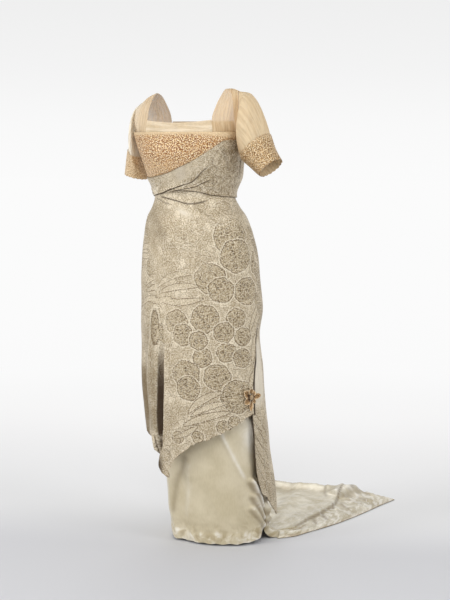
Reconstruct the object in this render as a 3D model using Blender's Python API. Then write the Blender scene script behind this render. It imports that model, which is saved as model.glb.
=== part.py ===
"""Evening dress of about 1912: metal brocade tunic over a satin skirt with a train, lace and net bodice.

Metres, +Z up. The front faces -Y and the wearer's left is +X. The dress keeps the hollow shape that it
has when it is worn, on a general figure. The origin lies midway between the two shoulder bands, at the
height where the shoulders hold the dress up. In the tables heights are above the floor, and x and y are
measured from the middle of the waist.
Every cloth is a thin wall, and each piece that is cut and sewn on is an object of its own.
"""

import math

import bmesh
import bpy
import numpy as np

# Driving sizes
ORIGIN = (-0.010, -0.030, 1.372)
LINING_SEAM = 1.060
UNDERARM = 1.186
YOKE_FRONT = 1.2515
YOKE_BACK = 1.258
NECKLINE_FRONT = 1.286
NECKLINE_BACK = 1.286
NECKLINE_DIP = 0.008
SEAM = 0.0004
SKIRT_SEAM = 0.0012
LAYER_GAP = 0.0010
LEAN_SIDE = -0.010
FRONT_OUT = 0.0054
LEAN_TILT = 0.074

# Cloth thicknesses
LACE = 0.0012
NET = 0.0010
BROCADE = 0.0018
SATIN = 0.0014

# Angles round the figure, in degrees: 0 centre front, 90 wearer's left side, 180 centre back, -90 right side
NECK_CORNER = 37.0
YOKE_CORNER = 78.0
SIDE_SEAM = 95.0
SIDE_SEAM_BACK = 180 - SIDE_SEAM
TUNIC_UNDER_LEFT = 72.0
TUNIC_UNDER_RIGHT = -6.0

# Materials: colour, roughness, metallic
FINISHES = {
    "lace": ((0.72, 0.50, 0.28), 0.55, 0.25),
    "net": ((0.86, 0.74, 0.54), 0.70, 0.0),
    "chiffon": ((0.85, 0.66, 0.45), 0.65, 0.0),
    "brocade": ((0.55, 0.48, 0.38), 0.45, 0.45),
    "satin": ((0.78, 0.72, 0.58), 0.35, 0.0),
    "gilt": ((0.50, 0.32, 0.16), 0.40, 0.6),
}

OUTLINE_POWER = 2.3
SECTION = ("height", "centre_x", "centre_y", "half_width", "front", "back")

# The figure's shape as the bodice and the tunic follow it: one row for each level, top to bottom
BODY = (
    SECTION,
    (1.310, 0.000, -0.026, 0.166, 0.084, 0.080),
    (1.286, 0.000, -0.024, 0.171, 0.096, 0.084),
    (1.252, 0.000, -0.018, 0.176, 0.110, 0.090),
    (1.225, 0.000, -0.012, 0.171, 0.124, 0.096),
    (1.190, 0.000, -0.006, 0.160, 0.133, 0.100),
    (1.155, 0.000, -0.003, 0.151, 0.127, 0.099),
    (1.114, 0.000, 0.000, 0.143, 0.110, 0.096),
    (1.085, 0.000, 0.000, 0.131, 0.096, 0.090),
    (1.060, 0.000, 0.000, 0.122, 0.0875, 0.0865),
    (1.030, 0.000, 0.002, 0.132, 0.096, 0.100),
    (1.000, 0.001, 0.005, 0.148, 0.107, 0.119),
    (0.950, 0.003, 0.010, 0.163, 0.117, 0.137),
    (0.890, 0.004, 0.015, 0.174, 0.123, 0.148),
    (0.830, 0.004, 0.018, 0.1785, 0.126, 0.154),
    (0.770, 0.005, 0.022, 0.182, 0.129, 0.157),
    (0.710, 0.006, 0.025, 0.185, 0.132, 0.159),
    (0.650, 0.005, 0.026, 0.184, 0.133, 0.157),
    (0.590, 0.005, 0.027, 0.183, 0.134, 0.156),
    (0.530, 0.006, 0.030, 0.184, 0.136, 0.155),
    (0.470, 0.008, 0.036, 0.184, 0.141, 0.154),
    (0.410, 0.010, 0.044, 0.183, 0.148, 0.155),
    (0.350, 0.013, 0.055, 0.181, 0.157, 0.161),
    (0.280, 0.016, 0.066, 0.178, 0.166, 0.171),
    (0.200, 0.020, 0.076, 0.178, 0.174, 0.185),
    (0.140, 0.022, 0.084, 0.178, 0.179, 0.199),
    (0.060, 0.022, 0.090, 0.177, 0.182, 0.212),
)

# The satin skirt, which narrows to the ankles inside the tunic
SHEATH = (
    SECTION,
    (1.085, 0.000, 0.000, 0.131, 0.096, 0.090),
    (1.060, 0.000, 0.000, 0.122, 0.0875, 0.0865),
    (1.030, 0.000, 0.002, 0.1312, 0.0952, 0.0992),
    (1.000, 0.001, 0.005, 0.1462, 0.1052, 0.1172),
    (0.950, 0.003, 0.010, 0.1595, 0.1135, 0.1335),
    (0.830, 0.004, 0.018, 0.174, 0.1215, 0.149),
    (0.710, 0.006, 0.025, 0.177, 0.124, 0.151),
    (0.590, 0.006, 0.028, 0.171, 0.122, 0.146),
    (0.470, 0.010, 0.038, 0.161, 0.120, 0.140),
    (0.350, 0.018, 0.055, 0.148, 0.118, 0.134),
    (0.220, 0.020, 0.066, 0.141, 0.119, 0.128),
    (0.160, 0.024, 0.077, 0.145, 0.122, 0.126),
    (0.100, 0.027, 0.082, 0.146, 0.124, 0.126),
    (0.050, 0.032, 0.090, 0.144, 0.125, 0.126),
    (0.000, 0.033, 0.092, 0.1415, 0.124, 0.125),
)

# A shoulder band from the front yoke seam to the back yoke seam: its neck edge and its armhole edge
BAND = (
    ("neck_x", "neck_y", "neck_h", "arm_x", "arm_y", "arm_h"),
    (0.110, -0.103, 1.290, 0.177, -0.050, 1.284),
    (0.113, -0.088, 1.325, 0.177, -0.049, 1.315),
    (0.116, -0.062, 1.355, 0.173, -0.042, 1.343),
    (0.117, -0.032, 1.3755, 0.168, -0.027, 1.3605),
    (0.117, -0.004, 1.369, 0.168, -0.008, 1.354),
    (0.114, 0.022, 1.343, 0.172, 0.008, 1.332),
    (0.110, 0.044, 1.305, 0.176, 0.018, 1.296),
)

# Sleeve rings from just outside the armhole to the mouth, in the plane x and height, with the ring's depth
SLEEVE = ("top_x", "top_h", "under_x", "under_h", "middle_y", "half_y")
LEFT_SLEEVE = (
    SLEEVE,
    (0.194, 1.355, 0.179, 1.172, -0.024, 0.060),
    (0.217, 1.338, 0.190, 1.160, -0.026, 0.062),
    (0.235, 1.300, 0.203, 1.149, -0.025, 0.060),
    (0.251, 1.252, 0.214, 1.139, -0.024, 0.056),
    (0.267, 1.209, 0.224, 1.130, -0.022, 0.053),
    (0.287, 1.171, 0.233, 1.123, -0.020, 0.050),
)
RIGHT_SLEEVE = (
    SLEEVE,
    (0.182, 1.354, 0.178, 1.170, -0.020, 0.050),
    (0.187, 1.332, 0.180, 1.157, -0.020, 0.052),
    (0.195, 1.296, 0.180, 1.146, -0.016, 0.052),
    (0.209, 1.240, 0.178, 1.134, -0.006, 0.050),
    (0.224, 1.186, 0.177, 1.122, 0.004, 0.046),
    (0.239, 1.127, 0.177, 1.110, 0.012, 0.042),
)
CUFF_SHARE = 0.42

# Edges that run round the figure: the angle and the height there
EDGE = ("angle", "height")
WRAP_TOP_FRONT = (
    EDGE,
    (-90.0, 1.119),
    (-45.0, 1.117),
    (-18.0, 1.1265),
    (7.0, 1.149),
    (25.0, 1.171),
    (41.0, 1.200),
    (55.0, 1.2255),
    (68.0, 1.228),
    (80.0, 1.216),
    (90.0, 1.170),
)
WRAP_TOP_BACK = (EDGE, (90.0, 1.172), (104.0, 1.190), (180.0, 1.175), (230.0, 1.135), (270.0, 1.119))
WAISTLINE = (
    EDGE,
    (-180.0, 1.057),
    (-90.0, 1.058),
    (-47.0, 1.064),
    (-26.0, 1.070),
    (-4.0, 1.074),
    (20.0, 1.076),
    (42.0, 1.066),
    (70.0, 1.060),
    (110.0, 1.057),
    (180.0, 1.057),
)
TUNIC_FRONT_HEM = (
    EDGE,
    (-24.0, 0.218),
    (-16.0, 0.246),
    (-4.0, 0.284),
    (8.0, 0.321),
    (26.0, 0.344),
    (44.0, 0.371),
    (62.0, 0.398),
    (75.0, 0.416),
)
# The tunic's back runs from under the front's right edge, round the back, to under its left edge
TUNIC_BACK_HEM = (
    EDGE,
    (-288.0, 0.275),
    (-285.0, 0.204),
    (-280.0, 0.156),
    (-267.0, 0.134),
    (-257.0, 0.109),
    (-246.0, 0.089),
    (-236.0, 0.090),
    (-215.0, 0.120),
    (-180.0, 0.185),
    (-130.0, 0.262),
    (-90.0, 0.324),
    (-58.0, 0.337),
    (-44.0, 0.322),
    (-32.0, 0.285),
    (-24.0, 0.275),
    (-14.0, 0.310),
    (-6.0, 0.350),
)
TUNIC_FRONT_EDGE = (
    ("height", "right", "left"),
    (1.076, -58.0, 92.0),
    (0.900, -38.0, 92.0),
    (0.760, -24.0, 91.0),
    (0.620, -16.0, 87.5),
    (0.540, -16.5, 83.0),
    (0.474, -17.0, 78.0),
    (0.410, -18.5, 75.0),
    (0.300, -21.5, 74.0),
    (0.218, -24.0, 74.0),
)

# Soft folds of the bodice wrap: each runs from the knot at the right of the waist to an end point
KNOT_ANGLE = -47.0
KNOT_HEIGHT = 1.066
WRAP_FOLDS = (
    ("end_angle", "end_height", "rise", "half_width"),
    (14.0, 1.132, 0.0035, 0.012),
    (36.0, 1.108, 0.0040, 0.011),
    (66.0, 1.082, 0.0030, 0.009),
)
WRAP_BLOUSE = 0.0052
WRAP_BLOUSE_HEIGHT = 0.014

# Upright folds of the tunic below the hips: where, how deep (+ out, - in), how wide, where they start and end
UPRIGHT_FOLDS = (
    ("angle", "depth", "half_width", "top", "full"),
    (-23.0, -0.015, 4.5, 0.68, 0.48),
    (-36.0, 0.005, 5.0, 0.70, 0.50),
    (-46.5, -0.006, 3.5, 0.66, 0.46),
    (-57.0, 0.004, 6.0, 0.70, 0.46),
    (-112.0, 0.006, 9.0, 0.60, 0.35),
    (-150.0, -0.006, 9.0, 0.60, 0.35),
    (-205.0, 0.006, 9.0, 0.60, 0.30),
    (-262.0, -0.005, 7.0, 0.45, 0.25),
)
SHEATH_FOLDS = (
    ("angle", "depth", "half_width", "top", "full"),
    (-22.0, -0.007, 7.0, 0.36, 0.16),
    (-40.0, 0.006, 8.0, 0.34, 0.16),
    (48.0, 0.004, 8.0, 0.36, 0.20),
    (74.0, -0.006, 8.0, 0.30, 0.10),
)

# The train: where its columns end on the floor and how its bend leaves the skirt
TRAIN_END_X = 0.036
TRAIN_HALF_WIDTH = 0.338
TRAIN_END_Y = 0.820
TRAIN_CORNER_BACK = 0.050
TRAIN_SIDE_BULGE = 0.026
TRAIN_BEND_HEIGHT_MIDDLE = 0.150
TRAIN_BEND_HEIGHT_SIDE = 0.050
TRAIN_BEND_RUN_MIDDLE = 0.115
TRAIN_BEND_RUN_SIDE = 0.040
# Long folds that lie on the train: two points on the floor plan, how high and how wide
TRAIN_FOLDS = (
    ("from_x", "from_y", "to_x", "to_y", "rise", "half_width"),
    (0.215, 0.250, 0.215, 0.800, 0.020, 0.026),
    (0.120, 0.330, 0.070, 0.790, 0.010, 0.030),
    (-0.020, 0.360, -0.050, 0.790, 0.014, 0.032),
    (-0.130, 0.300, -0.190, 0.760, 0.014, 0.028),
)

# The rosette where the tunic opens at the wearer's left knee
ROSETTE_ANGLE = 73.0
ROSETTE_HEIGHT = 0.458
ROSETTE_PETALS = 7
ROSETTE_RADIUS = 0.0166
ROSETTE_CENTRE_LIFT = 0.0040
PETAL_LIFT = 0.0036
PETAL_LENGTH = 0.020
PETAL_WIDTH = 0.0062
ROSETTE_PROUD = 0.0024


def clear_scene():
    """Removes whatever the scene holds at the start."""
    for thing in list(bpy.data.objects):
        bpy.data.objects.remove(thing)


def material(name):
    """The Principled material of one finish, made once."""
    found = bpy.data.materials.get(name)
    if found:
        return found
    colour, roughness, metallic = FINISHES[name]
    made = bpy.data.materials.new(name)
    made.use_nodes = True
    shader = made.node_tree.nodes["Principled BSDF"]
    shader.inputs["Base Color"].default_value = (*colour, 1.0)
    shader.inputs["Roughness"].default_value = roughness
    shader.inputs["Metallic"].default_value = metallic
    return made


def column(table, name):
    """One named column of a table, as an array."""
    return np.array([row[table[0].index(name)] for row in table[1:]], float)


def smooth(known_at, known, at):
    """Monotone cubic through the known values: smooth, and with no overshoot between them."""
    order = np.argsort(known_at)
    x = np.asarray(known_at, float)[order]
    y = np.asarray(known, float)[order]
    at = np.clip(at, x[0], x[-1])
    step = np.diff(x)
    slope = np.diff(y) / step
    tangent = np.zeros(len(x))
    same_way = slope[:-1] * slope[1:] > 0
    mean = 2 * slope[:-1] * slope[1:] / np.where(same_way, slope[:-1] + slope[1:], 1)
    tangent[1:-1] = np.where(same_way, mean, 0)
    tangent[0], tangent[-1] = slope[0], slope[-1]
    cell = np.clip(np.searchsorted(x, at, side="right") - 1, 0, len(step) - 1)
    t = (at - x[cell]) / step[cell]
    return (
        (2 * t**3 - 3 * t**2 + 1) * y[cell]
        + (t**3 - 2 * t**2 + t) * step[cell] * tangent[cell]
        + (3 * t**2 - 2 * t**3) * y[cell + 1]
        + (t**3 - t**2) * step[cell] * tangent[cell + 1]
    )


def read(table, by, name, at):
    """The smooth value of a table's column where another column has the value at."""
    return smooth(column(table, by), column(table, name), at)


def ring(form, angle, height, out=0.0):
    """Points of a form at an angle and a height, moved out sideways along the outline's normal.

    The outline is |x / half_width|^p + |y / depth|^p = 1, with its own depth for the front and the back."""
    angle, height, out = np.broadcast_arrays(np.radians(angle), height, out)
    half = read(form, "height", "half_width", height)
    front = read(form, "height", "front", height)
    back = read(form, "height", "back", height)
    sine, cosine = np.sin(angle), np.cos(angle)
    p = OUTLINE_POWER
    reach = (np.abs(sine) ** p + np.abs(cosine) ** p) ** (-1 / p)
    depth = np.where(cosine > 0, front, back)
    across, along = reach * sine, reach * cosine
    normal_x = np.sign(across) * np.abs(across) ** (p - 1) / half
    normal_y = -np.sign(along) * np.abs(along) ** (p - 1) / depth
    length = np.hypot(normal_x, normal_y)
    x = read(form, "height", "centre_x", height) + half * across + out * normal_x / length
    y = read(form, "height", "centre_y", height) - depth * along + out * normal_y / length
    return np.stack([x, y, height], -1)


def grid_normals(points, round_it=False):
    """Unit normals of a grid whose rows go up and whose columns go anticlockwise seen from above."""
    if round_it:
        wrapped = np.concatenate([points[:, -1:], points, points[:, :1]], 1)
        sideways = wrapped[:, 2:] - wrapped[:, :-2]
    else:
        sideways = np.gradient(points, axis=1)
    upwards = np.gradient(points, axis=0)
    normal = np.cross(sideways, upwards)
    return normal / np.linalg.norm(normal, axis=-1, keepdims=True)


def worn(points):
    """Leans the upper figure a little to its right, drops that shoulder, and measures from the origin."""
    points = np.array(points)
    height = points[:, 2].copy()
    points[:, 2] += LEAN_TILT * points[:, 0] * ease(height, NECKLINE_FRONT, 1.36)
    points[:, 0] += LEAN_SIDE * ease(height, 1.09, 1.30)
    return points - np.array(ORIGIN)


def wall(name, outer, inner, finish, round_it=False):
    """One closed solid between two grids of the same size, with the open edges joined."""
    rows, columns = outer.shape[:2]
    points = worn(np.concatenate([outer.reshape(-1, 3), inner.reshape(-1, 3)]))
    number = np.arange(rows * columns).reshape(rows, columns)
    if round_it:
        number = np.concatenate([number, number[:, :1]], 1)
    low, right = number[:-1, :-1].ravel(), number[:-1, 1:].ravel()
    high_right, high = number[1:, 1:].ravel(), number[1:, :-1].ravel()
    faces = np.stack([low, right, high_right, high], 1)
    behind = rows * columns
    edges = [number[0], number[-1][::-1]]
    if not round_it:
        edges += [number[::-1, 0], number[:, -1]]
    sides = [np.stack([e[1:], e[:-1], e[:-1] + behind, e[1:] + behind], 1) for e in edges]
    faces = np.concatenate([faces, faces[:, ::-1] + behind, *sides])
    return mesh_object(name, points, faces, finish)


def mesh_object(name, points, faces, finish):
    """An object of points and faces, facing out and shaded smooth."""
    mesh = bpy.data.meshes.new(name)
    mesh.from_pydata(np.asarray(points).tolist(), [], np.asarray(faces).tolist())
    work = bmesh.new()
    work.from_mesh(mesh)
    bmesh.ops.recalc_face_normals(work, faces=work.faces)
    work.to_mesh(mesh)
    work.free()
    mesh.materials.append(material(finish))
    mesh.shade_smooth()
    mesh.set_sharp_from_angle(angle=math.radians(50))
    made = bpy.data.objects.new(name, mesh)
    bpy.context.scene.collection.objects.link(made)
    return made


def span(start, end, count):
    """Even steps from start to end, as a row."""
    return np.linspace(start, end, count)


def bell(distance, half_width):
    """A soft hump: 1 in its middle, about 0 beyond twice its half width."""
    return np.exp(-((distance / half_width) ** 2))


def ease(value, start, end):
    """0 at start and 1 at end, smooth at both."""
    t = np.clip((value - start) / (end - start), 0, 1)
    return t * t * (3 - 2 * t)


def upright_folds(table, angle, height):
    """How far upright folds move the cloth out, at an angle and a height."""
    moved = np.zeros(np.broadcast(angle, height).shape)
    for fold in table[1:]:
        at, depth, half_width, top, full = fold
        moved = moved + depth * bell(angle - at, half_width) * ease(height, top, full)
    return moved


def panel(name, form, angles, bottom, top, rows, thick, out, finish, relief=None, crowd=1.0):
    """A cloth panel on a form. bottom and top are one value for each column, and so are angles, unless they
    are a function of the heights. relief(angle, height) moves the whole wall out. crowd sets the rows closer
    together at the top when it is above 1, and at the bottom when it is below 1."""
    if crowd >= 1:
        share = 1 - span(1, 0, rows)[:, None] ** crowd
    else:
        share = span(0, 1, rows)[:, None] ** (1 / crowd)
    height = bottom[None, :] + (top - bottom)[None, :] * share
    angle = angles(height) if callable(angles) else np.broadcast_to(angles, height.shape)
    moved = relief(angle, height) if relief else 0.0
    inner = ring(form, angle, height, out + moved)
    outer = ring(form, angle, height, out + moved + thick)
    return wall(name, outer, inner, finish)


def seam_angle(width=0.15):
    """Half the gap at a seam, as an angle at a usual distance from the axis."""
    return math.degrees(SEAM / 2 / width)


def armhole_angle(height, yoke):
    """The angle of the armhole's edge on the body, from the side at the underarm to the yoke's corner."""
    share = np.clip((height - UNDERARM) / (yoke - UNDERARM), 0, 1)
    return 90 - (90 - YOKE_CORNER) * share**1.4


def build_lace_front():
    """The lace front of the bodice, from the waist to the yoke seam, cut out at the armholes."""
    across = span(-1, 1, 21)
    bottom = np.full(21, LINING_SEAM + SEAM / 2)
    top = np.full(21, YOKE_FRONT - SEAM / 2)

    def angles(height):
        return across[None, :] * (armhole_angle(height, YOKE_FRONT) - seam_angle())

    panel("bodice_front_lace", BODY, angles, bottom, top, 11, LACE, 0.0, "lace")


def build_lace_back():
    """The back of the bodice, with a higher yoke seam than the front."""
    across = span(-1, 1, 17)
    bottom = np.full(17, LINING_SEAM + SEAM / 2)
    top = np.full(17, YOKE_BACK - SEAM / 2)

    def angles(height):
        return 180 + across[None, :] * (armhole_angle(height, YOKE_BACK) - seam_angle())

    panel("bodice_back_lace", BODY, angles, bottom, top, 11, LACE, 0.0, "lace")


def build_neck_edgings():
    """The net bands that finish the square neckline between the shoulder bands, front and back."""
    across = span(-1, 1, 13)
    corner = NECK_CORNER - seam_angle(0.11) * 2
    top = NECKLINE_FRONT - NECKLINE_DIP * np.cos(across * math.pi / 2)
    bottom = np.full(13, YOKE_FRONT + SEAM / 2)
    panel("neck_edging_front", BODY, across * corner, bottom, top, 3, NET, 0.0, "net")
    top = np.full(13, NECKLINE_BACK)
    bottom = np.full(13, YOKE_BACK + SEAM / 2)
    panel("neck_edging_back", BODY, 180 + across * corner, bottom, top, 3, NET, 0.0, "net")


def band_edges(stations):
    """The neck edge and the armhole edge of the left shoulder band, from the front seam to the back seam."""
    front = ring(BODY, np.array([NECK_CORNER, YOKE_CORNER]), YOKE_FRONT + SEAM / 2)
    back = ring(BODY, 180 - np.array([NECK_CORNER, YOKE_CORNER]), YOKE_BACK + SEAM / 2)
    edges = []
    for side, place in enumerate(("neck", "arm")):
        middle = np.stack([column(BAND, f"{place}_{axis}") for axis in "xyh"], 1)
        known = np.concatenate([front[side][None], middle, back[side][None]])
        run = np.concatenate([[0], np.cumsum(np.linalg.norm(np.diff(known, axis=0), axis=1))])
        at = span(0, run[-1], stations)
        edges.append(np.stack([smooth(run, known[:, axis], at) for axis in range(3)], 1))
    return edges


def build_shoulder_band(name, side):
    """A chiffon band in five lengthwise pleats over one shoulder. side is 1 for the left, -1 for the right."""
    stations, columns, pleats, pleat_rise = 13, 11, 5, 0.0016
    neck, arm = band_edges(stations)
    across = span(0, 1, columns)
    points = neck[None] + (arm - neck)[None] * across[:, None, None]
    points = points.transpose(1, 0, 2)
    up = grid_normals(points)
    up *= np.sign(up[stations // 2, columns // 2, 2])
    up[[0, -1], :, 2] = 0
    up[:, -1, 0] = 0
    up /= np.linalg.norm(up, axis=-1, keepdims=True)
    crown = 0.004 * np.sin(math.pi * across)
    pleat = pleat_rise * np.abs(np.sin(math.pi * pleats * across))
    ends = np.sin(math.pi * span(0, 1, stations)) ** 0.5
    inner = points + up * (crown[None, :, None] * ends[:, None, None])
    outer = inner + up * (NET + pleat[None, :, None] * ends[:, None, None])
    inner[..., 0] *= side
    outer[..., 0] *= side
    wall(name, outer, inner, "chiffon")


def armhole(turn):
    """Points of the left armhole: turn 0 is the shoulder, 90 the front, 180 the underarm, 270 the back."""
    _, arm = band_edges(31)
    heights = span(UNDERARM, YOKE_FRONT, 9)
    front = ring(BODY, armhole_angle(heights, YOKE_FRONT), heights)
    heights = span(UNDERARM, YOKE_BACK, 9)
    back = ring(BODY, 180 - armhole_angle(heights, YOKE_BACK), heights)
    known = np.concatenate([arm, back[::-1], front])
    centre = np.array([0.0, -0.016, 1.270])
    seen = np.arctan2(-(known[:, 1] - centre[1]), known[:, 2] - centre[2])
    order = np.argsort(seen)
    wanted = (np.radians(turn) + math.pi) % (2 * math.pi) - math.pi
    period = 2 * math.pi
    found = [np.interp(wanted, seen[order], known[order, axis], period=period) for axis in range(3)]
    return np.stack(found, -1)


def sleeve_surface(table, rows, columns):
    """The inner surface of a sleeve, from the armhole to the mouth, as if it were the left one."""
    turn = span(0, 360, columns + 1)[:-1]
    first = armhole(turn)
    first[:, 0] += LACE + 2 * SEAM + NET * (1 - np.cos(np.radians(turn))) / 2
    top = np.stack([column(table, "top_x"), column(table, "top_h")], 1)
    under = np.stack([column(table, "under_x"), column(table, "under_h")], 1)
    middle = (top + under) / 2
    half = (top - under) / 2
    cosine, sine = np.cos(np.radians(turn)), np.sin(np.radians(turn))
    rings = [first]
    for k in range(len(top)):
        x = middle[k, 0] + half[k, 0] * cosine
        h = middle[k, 1] + half[k, 1] * cosine
        y = column(table, "middle_y")[k] - column(table, "half_y")[k] * sine
        rings.append(np.stack([x, y, h], 1))
    known = np.stack(rings)
    at = np.arange(len(rings)) / (len(rings) - 1)
    wanted = span(0, 1, rows)
    surface = np.empty((rows, columns, 3))
    for c in range(columns):
        for axis in range(3):
            surface[:, c, axis] = smooth(at, known[:, c, axis], wanted)
    return surface


def build_sleeve(side_name, side, table):
    """A net sleeve and the lace cuff that lies on its lower part."""
    rows, columns = 10, 20
    surface = sleeve_surface(table, rows, columns)
    out = -grid_normals(surface, round_it=True)
    middle = surface.mean(1, keepdims=True)
    out *= np.sign((out * (surface - middle)).sum(-1).mean())
    inner, outer = surface.copy(), surface + out * NET
    first = rows - 1 - round(CUFF_SHARE * (rows - 1))
    cuff_inner = surface[first:] + out[first:] * (NET + 2 * SEAM)
    cuff_outer = cuff_inner + out[first:] * LACE
    for grid in (inner, outer, cuff_inner, cuff_outer):
        grid[..., 0] *= side
    wall(f"sleeve_{side_name}", outer, inner, "net", round_it=True)
    wall(f"cuff_{side_name}", cuff_outer, cuff_inner, "lace", round_it=True)


def waistline(angle):
    """The height of the seam between the wrap and the tunic at any angle."""
    angle = (np.asarray(angle) + 180) % 360 - 180
    return read(WAISTLINE, "angle", "height", angle)


def wrap_relief(angle, height):
    """The wrap's blouse over the waist seam, and its folds, which fan out from the knot at the waist."""
    moved = WRAP_BLOUSE * bell(height - waistline(angle), WRAP_BLOUSE_HEIGHT)
    width = 0.135
    x = np.radians(angle - KNOT_ANGLE) * width
    z = height - KNOT_HEIGHT
    for end_angle, end_height, rise, half_width in WRAP_FOLDS[1:]:
        end_x = math.radians(end_angle - KNOT_ANGLE) * width
        end_z = end_height - KNOT_HEIGHT
        length = math.hypot(end_x, end_z)
        along = (x * end_x + z * end_z) / length
        off = (x * end_z - z * end_x) / length
        fade = ease(along, -0.01, 0.03) * (1 - ease(along, 0.75 * length, 1.1 * length))
        moved = moved + rise * bell(off, half_width) * fade
    return moved


def build_wrap():
    """The brocade wrap of the bodice: a front drawn down to the knot, and a plain back."""
    out = LACE + LAYER_GAP
    seam = seam_angle()
    angles = span(-90 + seam, 90 - seam, 29)
    top = read(WRAP_TOP_FRONT, "angle", "height", angles)
    bottom = waistline(angles) + SEAM / 2
    panel("wrap_front", BODY, angles, bottom, top, 10, BROCADE, out, "brocade", wrap_relief, crowd=0.8)
    angles = span(90 + seam, 270 - seam, 21)
    top = read(WRAP_TOP_BACK, "angle", "height", angles)
    bottom = waistline(angles) + SEAM / 2
    relief = lambda angle, height: WRAP_BLOUSE * bell(height - waistline(angle), WRAP_BLOUSE_HEIGHT)
    panel("wrap_back", BODY, angles, bottom, top, 7, BROCADE, out, "brocade", relief, crowd=0.8)


def build_tunic_back():
    """The brocade tunic's sides and back, whose left corner hangs down as a long tail."""
    wide = span(TUNIC_UNDER_LEFT - 360, -62, 30)[:-1]
    close = span(-62, TUNIC_UNDER_RIGHT, 17)
    angles = np.concatenate([wide, close])
    bottom = read(TUNIC_BACK_HEM, "angle", "height", angles)
    top = np.minimum(waistline(angles), LINING_SEAM) - SEAM / 2
    relief = lambda angle, height: upright_folds(UPRIGHT_FOLDS, angle, height)
    out = LACE + LAYER_GAP
    panel("tunic_back", BODY, angles, bottom, top, 15, BROCADE, out, "brocade", relief, crowd=1.5)


def tunic_front_angles(height):
    """The right and the left edge of the tunic's front at a height, as angles."""
    right = read(TUNIC_FRONT_EDGE, "height", "right", height)
    left = read(TUNIC_FRONT_EDGE, "height", "left", height)
    return right, left


def tunic_front_relief(angle, height):
    """The front stands off the side at its hanging right edge, and its lower part swings a little forward."""
    right, _ = tunic_front_angles(height)
    hang = ease(height, 0.66, 0.34)
    edge = 0.004 * bell(angle - right, 9.0) * hang
    swing = 0.003 * hang
    soft = 0.002 * np.sin(np.radians((angle - 20) * 4)) * hang
    return edge + swing + soft


def build_tunic_front():
    """The brocade tunic's front, wrapped over from the left, with a slanting hem that ends in a point."""
    share = span(0, 1, 25)
    hem_angle = TUNIC_FRONT_HEM[1][0] + (TUNIC_FRONT_HEM[-1][0] - TUNIC_FRONT_HEM[1][0]) * share
    bottom = read(TUNIC_FRONT_HEM, "angle", "height", hem_angle)
    top_right, top_left = tunic_front_angles(1.064)
    top = waistline(top_right + (top_left - top_right) * share) - SEAM / 2

    def angles(height):
        right, left = tunic_front_angles(height)
        return right + (left - right) * share[None, :]

    relief = tunic_front_relief
    panel("tunic_front", BODY, angles, bottom, top, 15, BROCADE, FRONT_OUT, "brocade", relief, crowd=1.5)


def build_sheath_front():
    """The satin skirt's front, from the waist to a hem just clear of the floor."""
    seam = math.degrees(SKIRT_SEAM / 2 / 0.15)
    angles = span(-SIDE_SEAM + seam, SIDE_SEAM - seam, 29)
    side = np.abs(angles / SIDE_SEAM) ** 6
    bottom = 0.006 + 0.040 * side * (angles > 0) + 0.015 * side * (angles < 0)
    top = np.full(len(angles), LINING_SEAM - SEAM / 2)
    relief = lambda angle, height: upright_folds(SHEATH_FOLDS, angle, height)
    panel("underskirt_front", SHEATH, angles, bottom, top, 18, SATIN, -0.0002, "satin", relief, crowd=1.7)


def segment_distance(x, y, start, end):
    """The distance of points from a line between two others, and the share of its length there."""
    run = np.array(end) - np.array(start)
    length = math.hypot(*run)
    along = ((x - start[0]) * run[0] + (y - start[1]) * run[1]) / length**2
    off = ((x - start[0]) * run[1] - (y - start[1]) * run[0]) / length
    return off, along


def train_folds(x, y):
    """How high the train's long folds stand off the floor."""
    raised = np.zeros(x.shape)
    for from_x, from_y, to_x, to_y, rise, half_width in TRAIN_FOLDS[1:]:
        off, along = segment_distance(x, y, (from_x, from_y), (to_x, to_y))
        raised = raised + rise * bell(off, half_width) * ease(along, -0.2, 0.25)
    return raised


def train_surface(across, body_rows, bend_rows, floor_rows):
    """The outer surface of the satin back: down the figure, round a bend, and out along the floor.

    across is -1 at the right side seam and 1 at the left one. Each column goes straight down to its bend,
    which is a quarter of an ellipse, and then over the floor to its place on the train's end."""
    angle = 180 - SIDE_SEAM_BACK * across
    side = np.abs(across)
    bend_height = TRAIN_BEND_HEIGHT_MIDDLE + (TRAIN_BEND_HEIGHT_SIDE - TRAIN_BEND_HEIGHT_MIDDLE) * side**2
    bend_run = TRAIN_BEND_RUN_MIDDLE + (TRAIN_BEND_RUN_SIDE - TRAIN_BEND_RUN_MIDDLE) * side**2
    floor = SATIN + 0.0006
    start = ring(SHEATH, angle, bend_height, -0.0002 + SATIN)
    end_x = TRAIN_END_X + TRAIN_HALF_WIDTH * across
    end_y = TRAIN_END_Y - TRAIN_CORNER_BACK * side**3
    run = np.stack([end_x, end_y], 1) - start[:, :2]
    length = np.linalg.norm(run, axis=1)
    way = run / length[:, None]
    rows = []
    top = LINING_SEAM - SEAM / 2
    for share in span(0, 1, body_rows + 1)[:-1] ** 1.8:
        height = top + (bend_height - top) * share
        rows.append(ring(SHEATH, angle, height, -0.0002 + SATIN))
    for turn in np.radians(span(0, 90, bend_rows + 1)[:-1]):
        forward = bend_run * (1 - math.cos(turn))
        height = floor + (bend_height - floor) * (1 - math.sin(turn))
        flat = start[:, :2] + way * forward[:, None]
        rows.append(np.column_stack([flat, height]))
    for share in span(0, 1, floor_rows):
        forward = bend_run + (length - bend_run) * share
        flat = start[:, :2] + way * forward[:, None]
        flat[:, 0] += TRAIN_SIDE_BULGE * across * math.sin(math.pi * share)
        raised = train_folds(flat[:, 0], flat[:, 1]) * ease(share, 0.0, 0.3) * (1 - side**8)
        rows.append(np.column_stack([flat, floor + raised]))
    return np.stack(rows[::-1])


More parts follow.
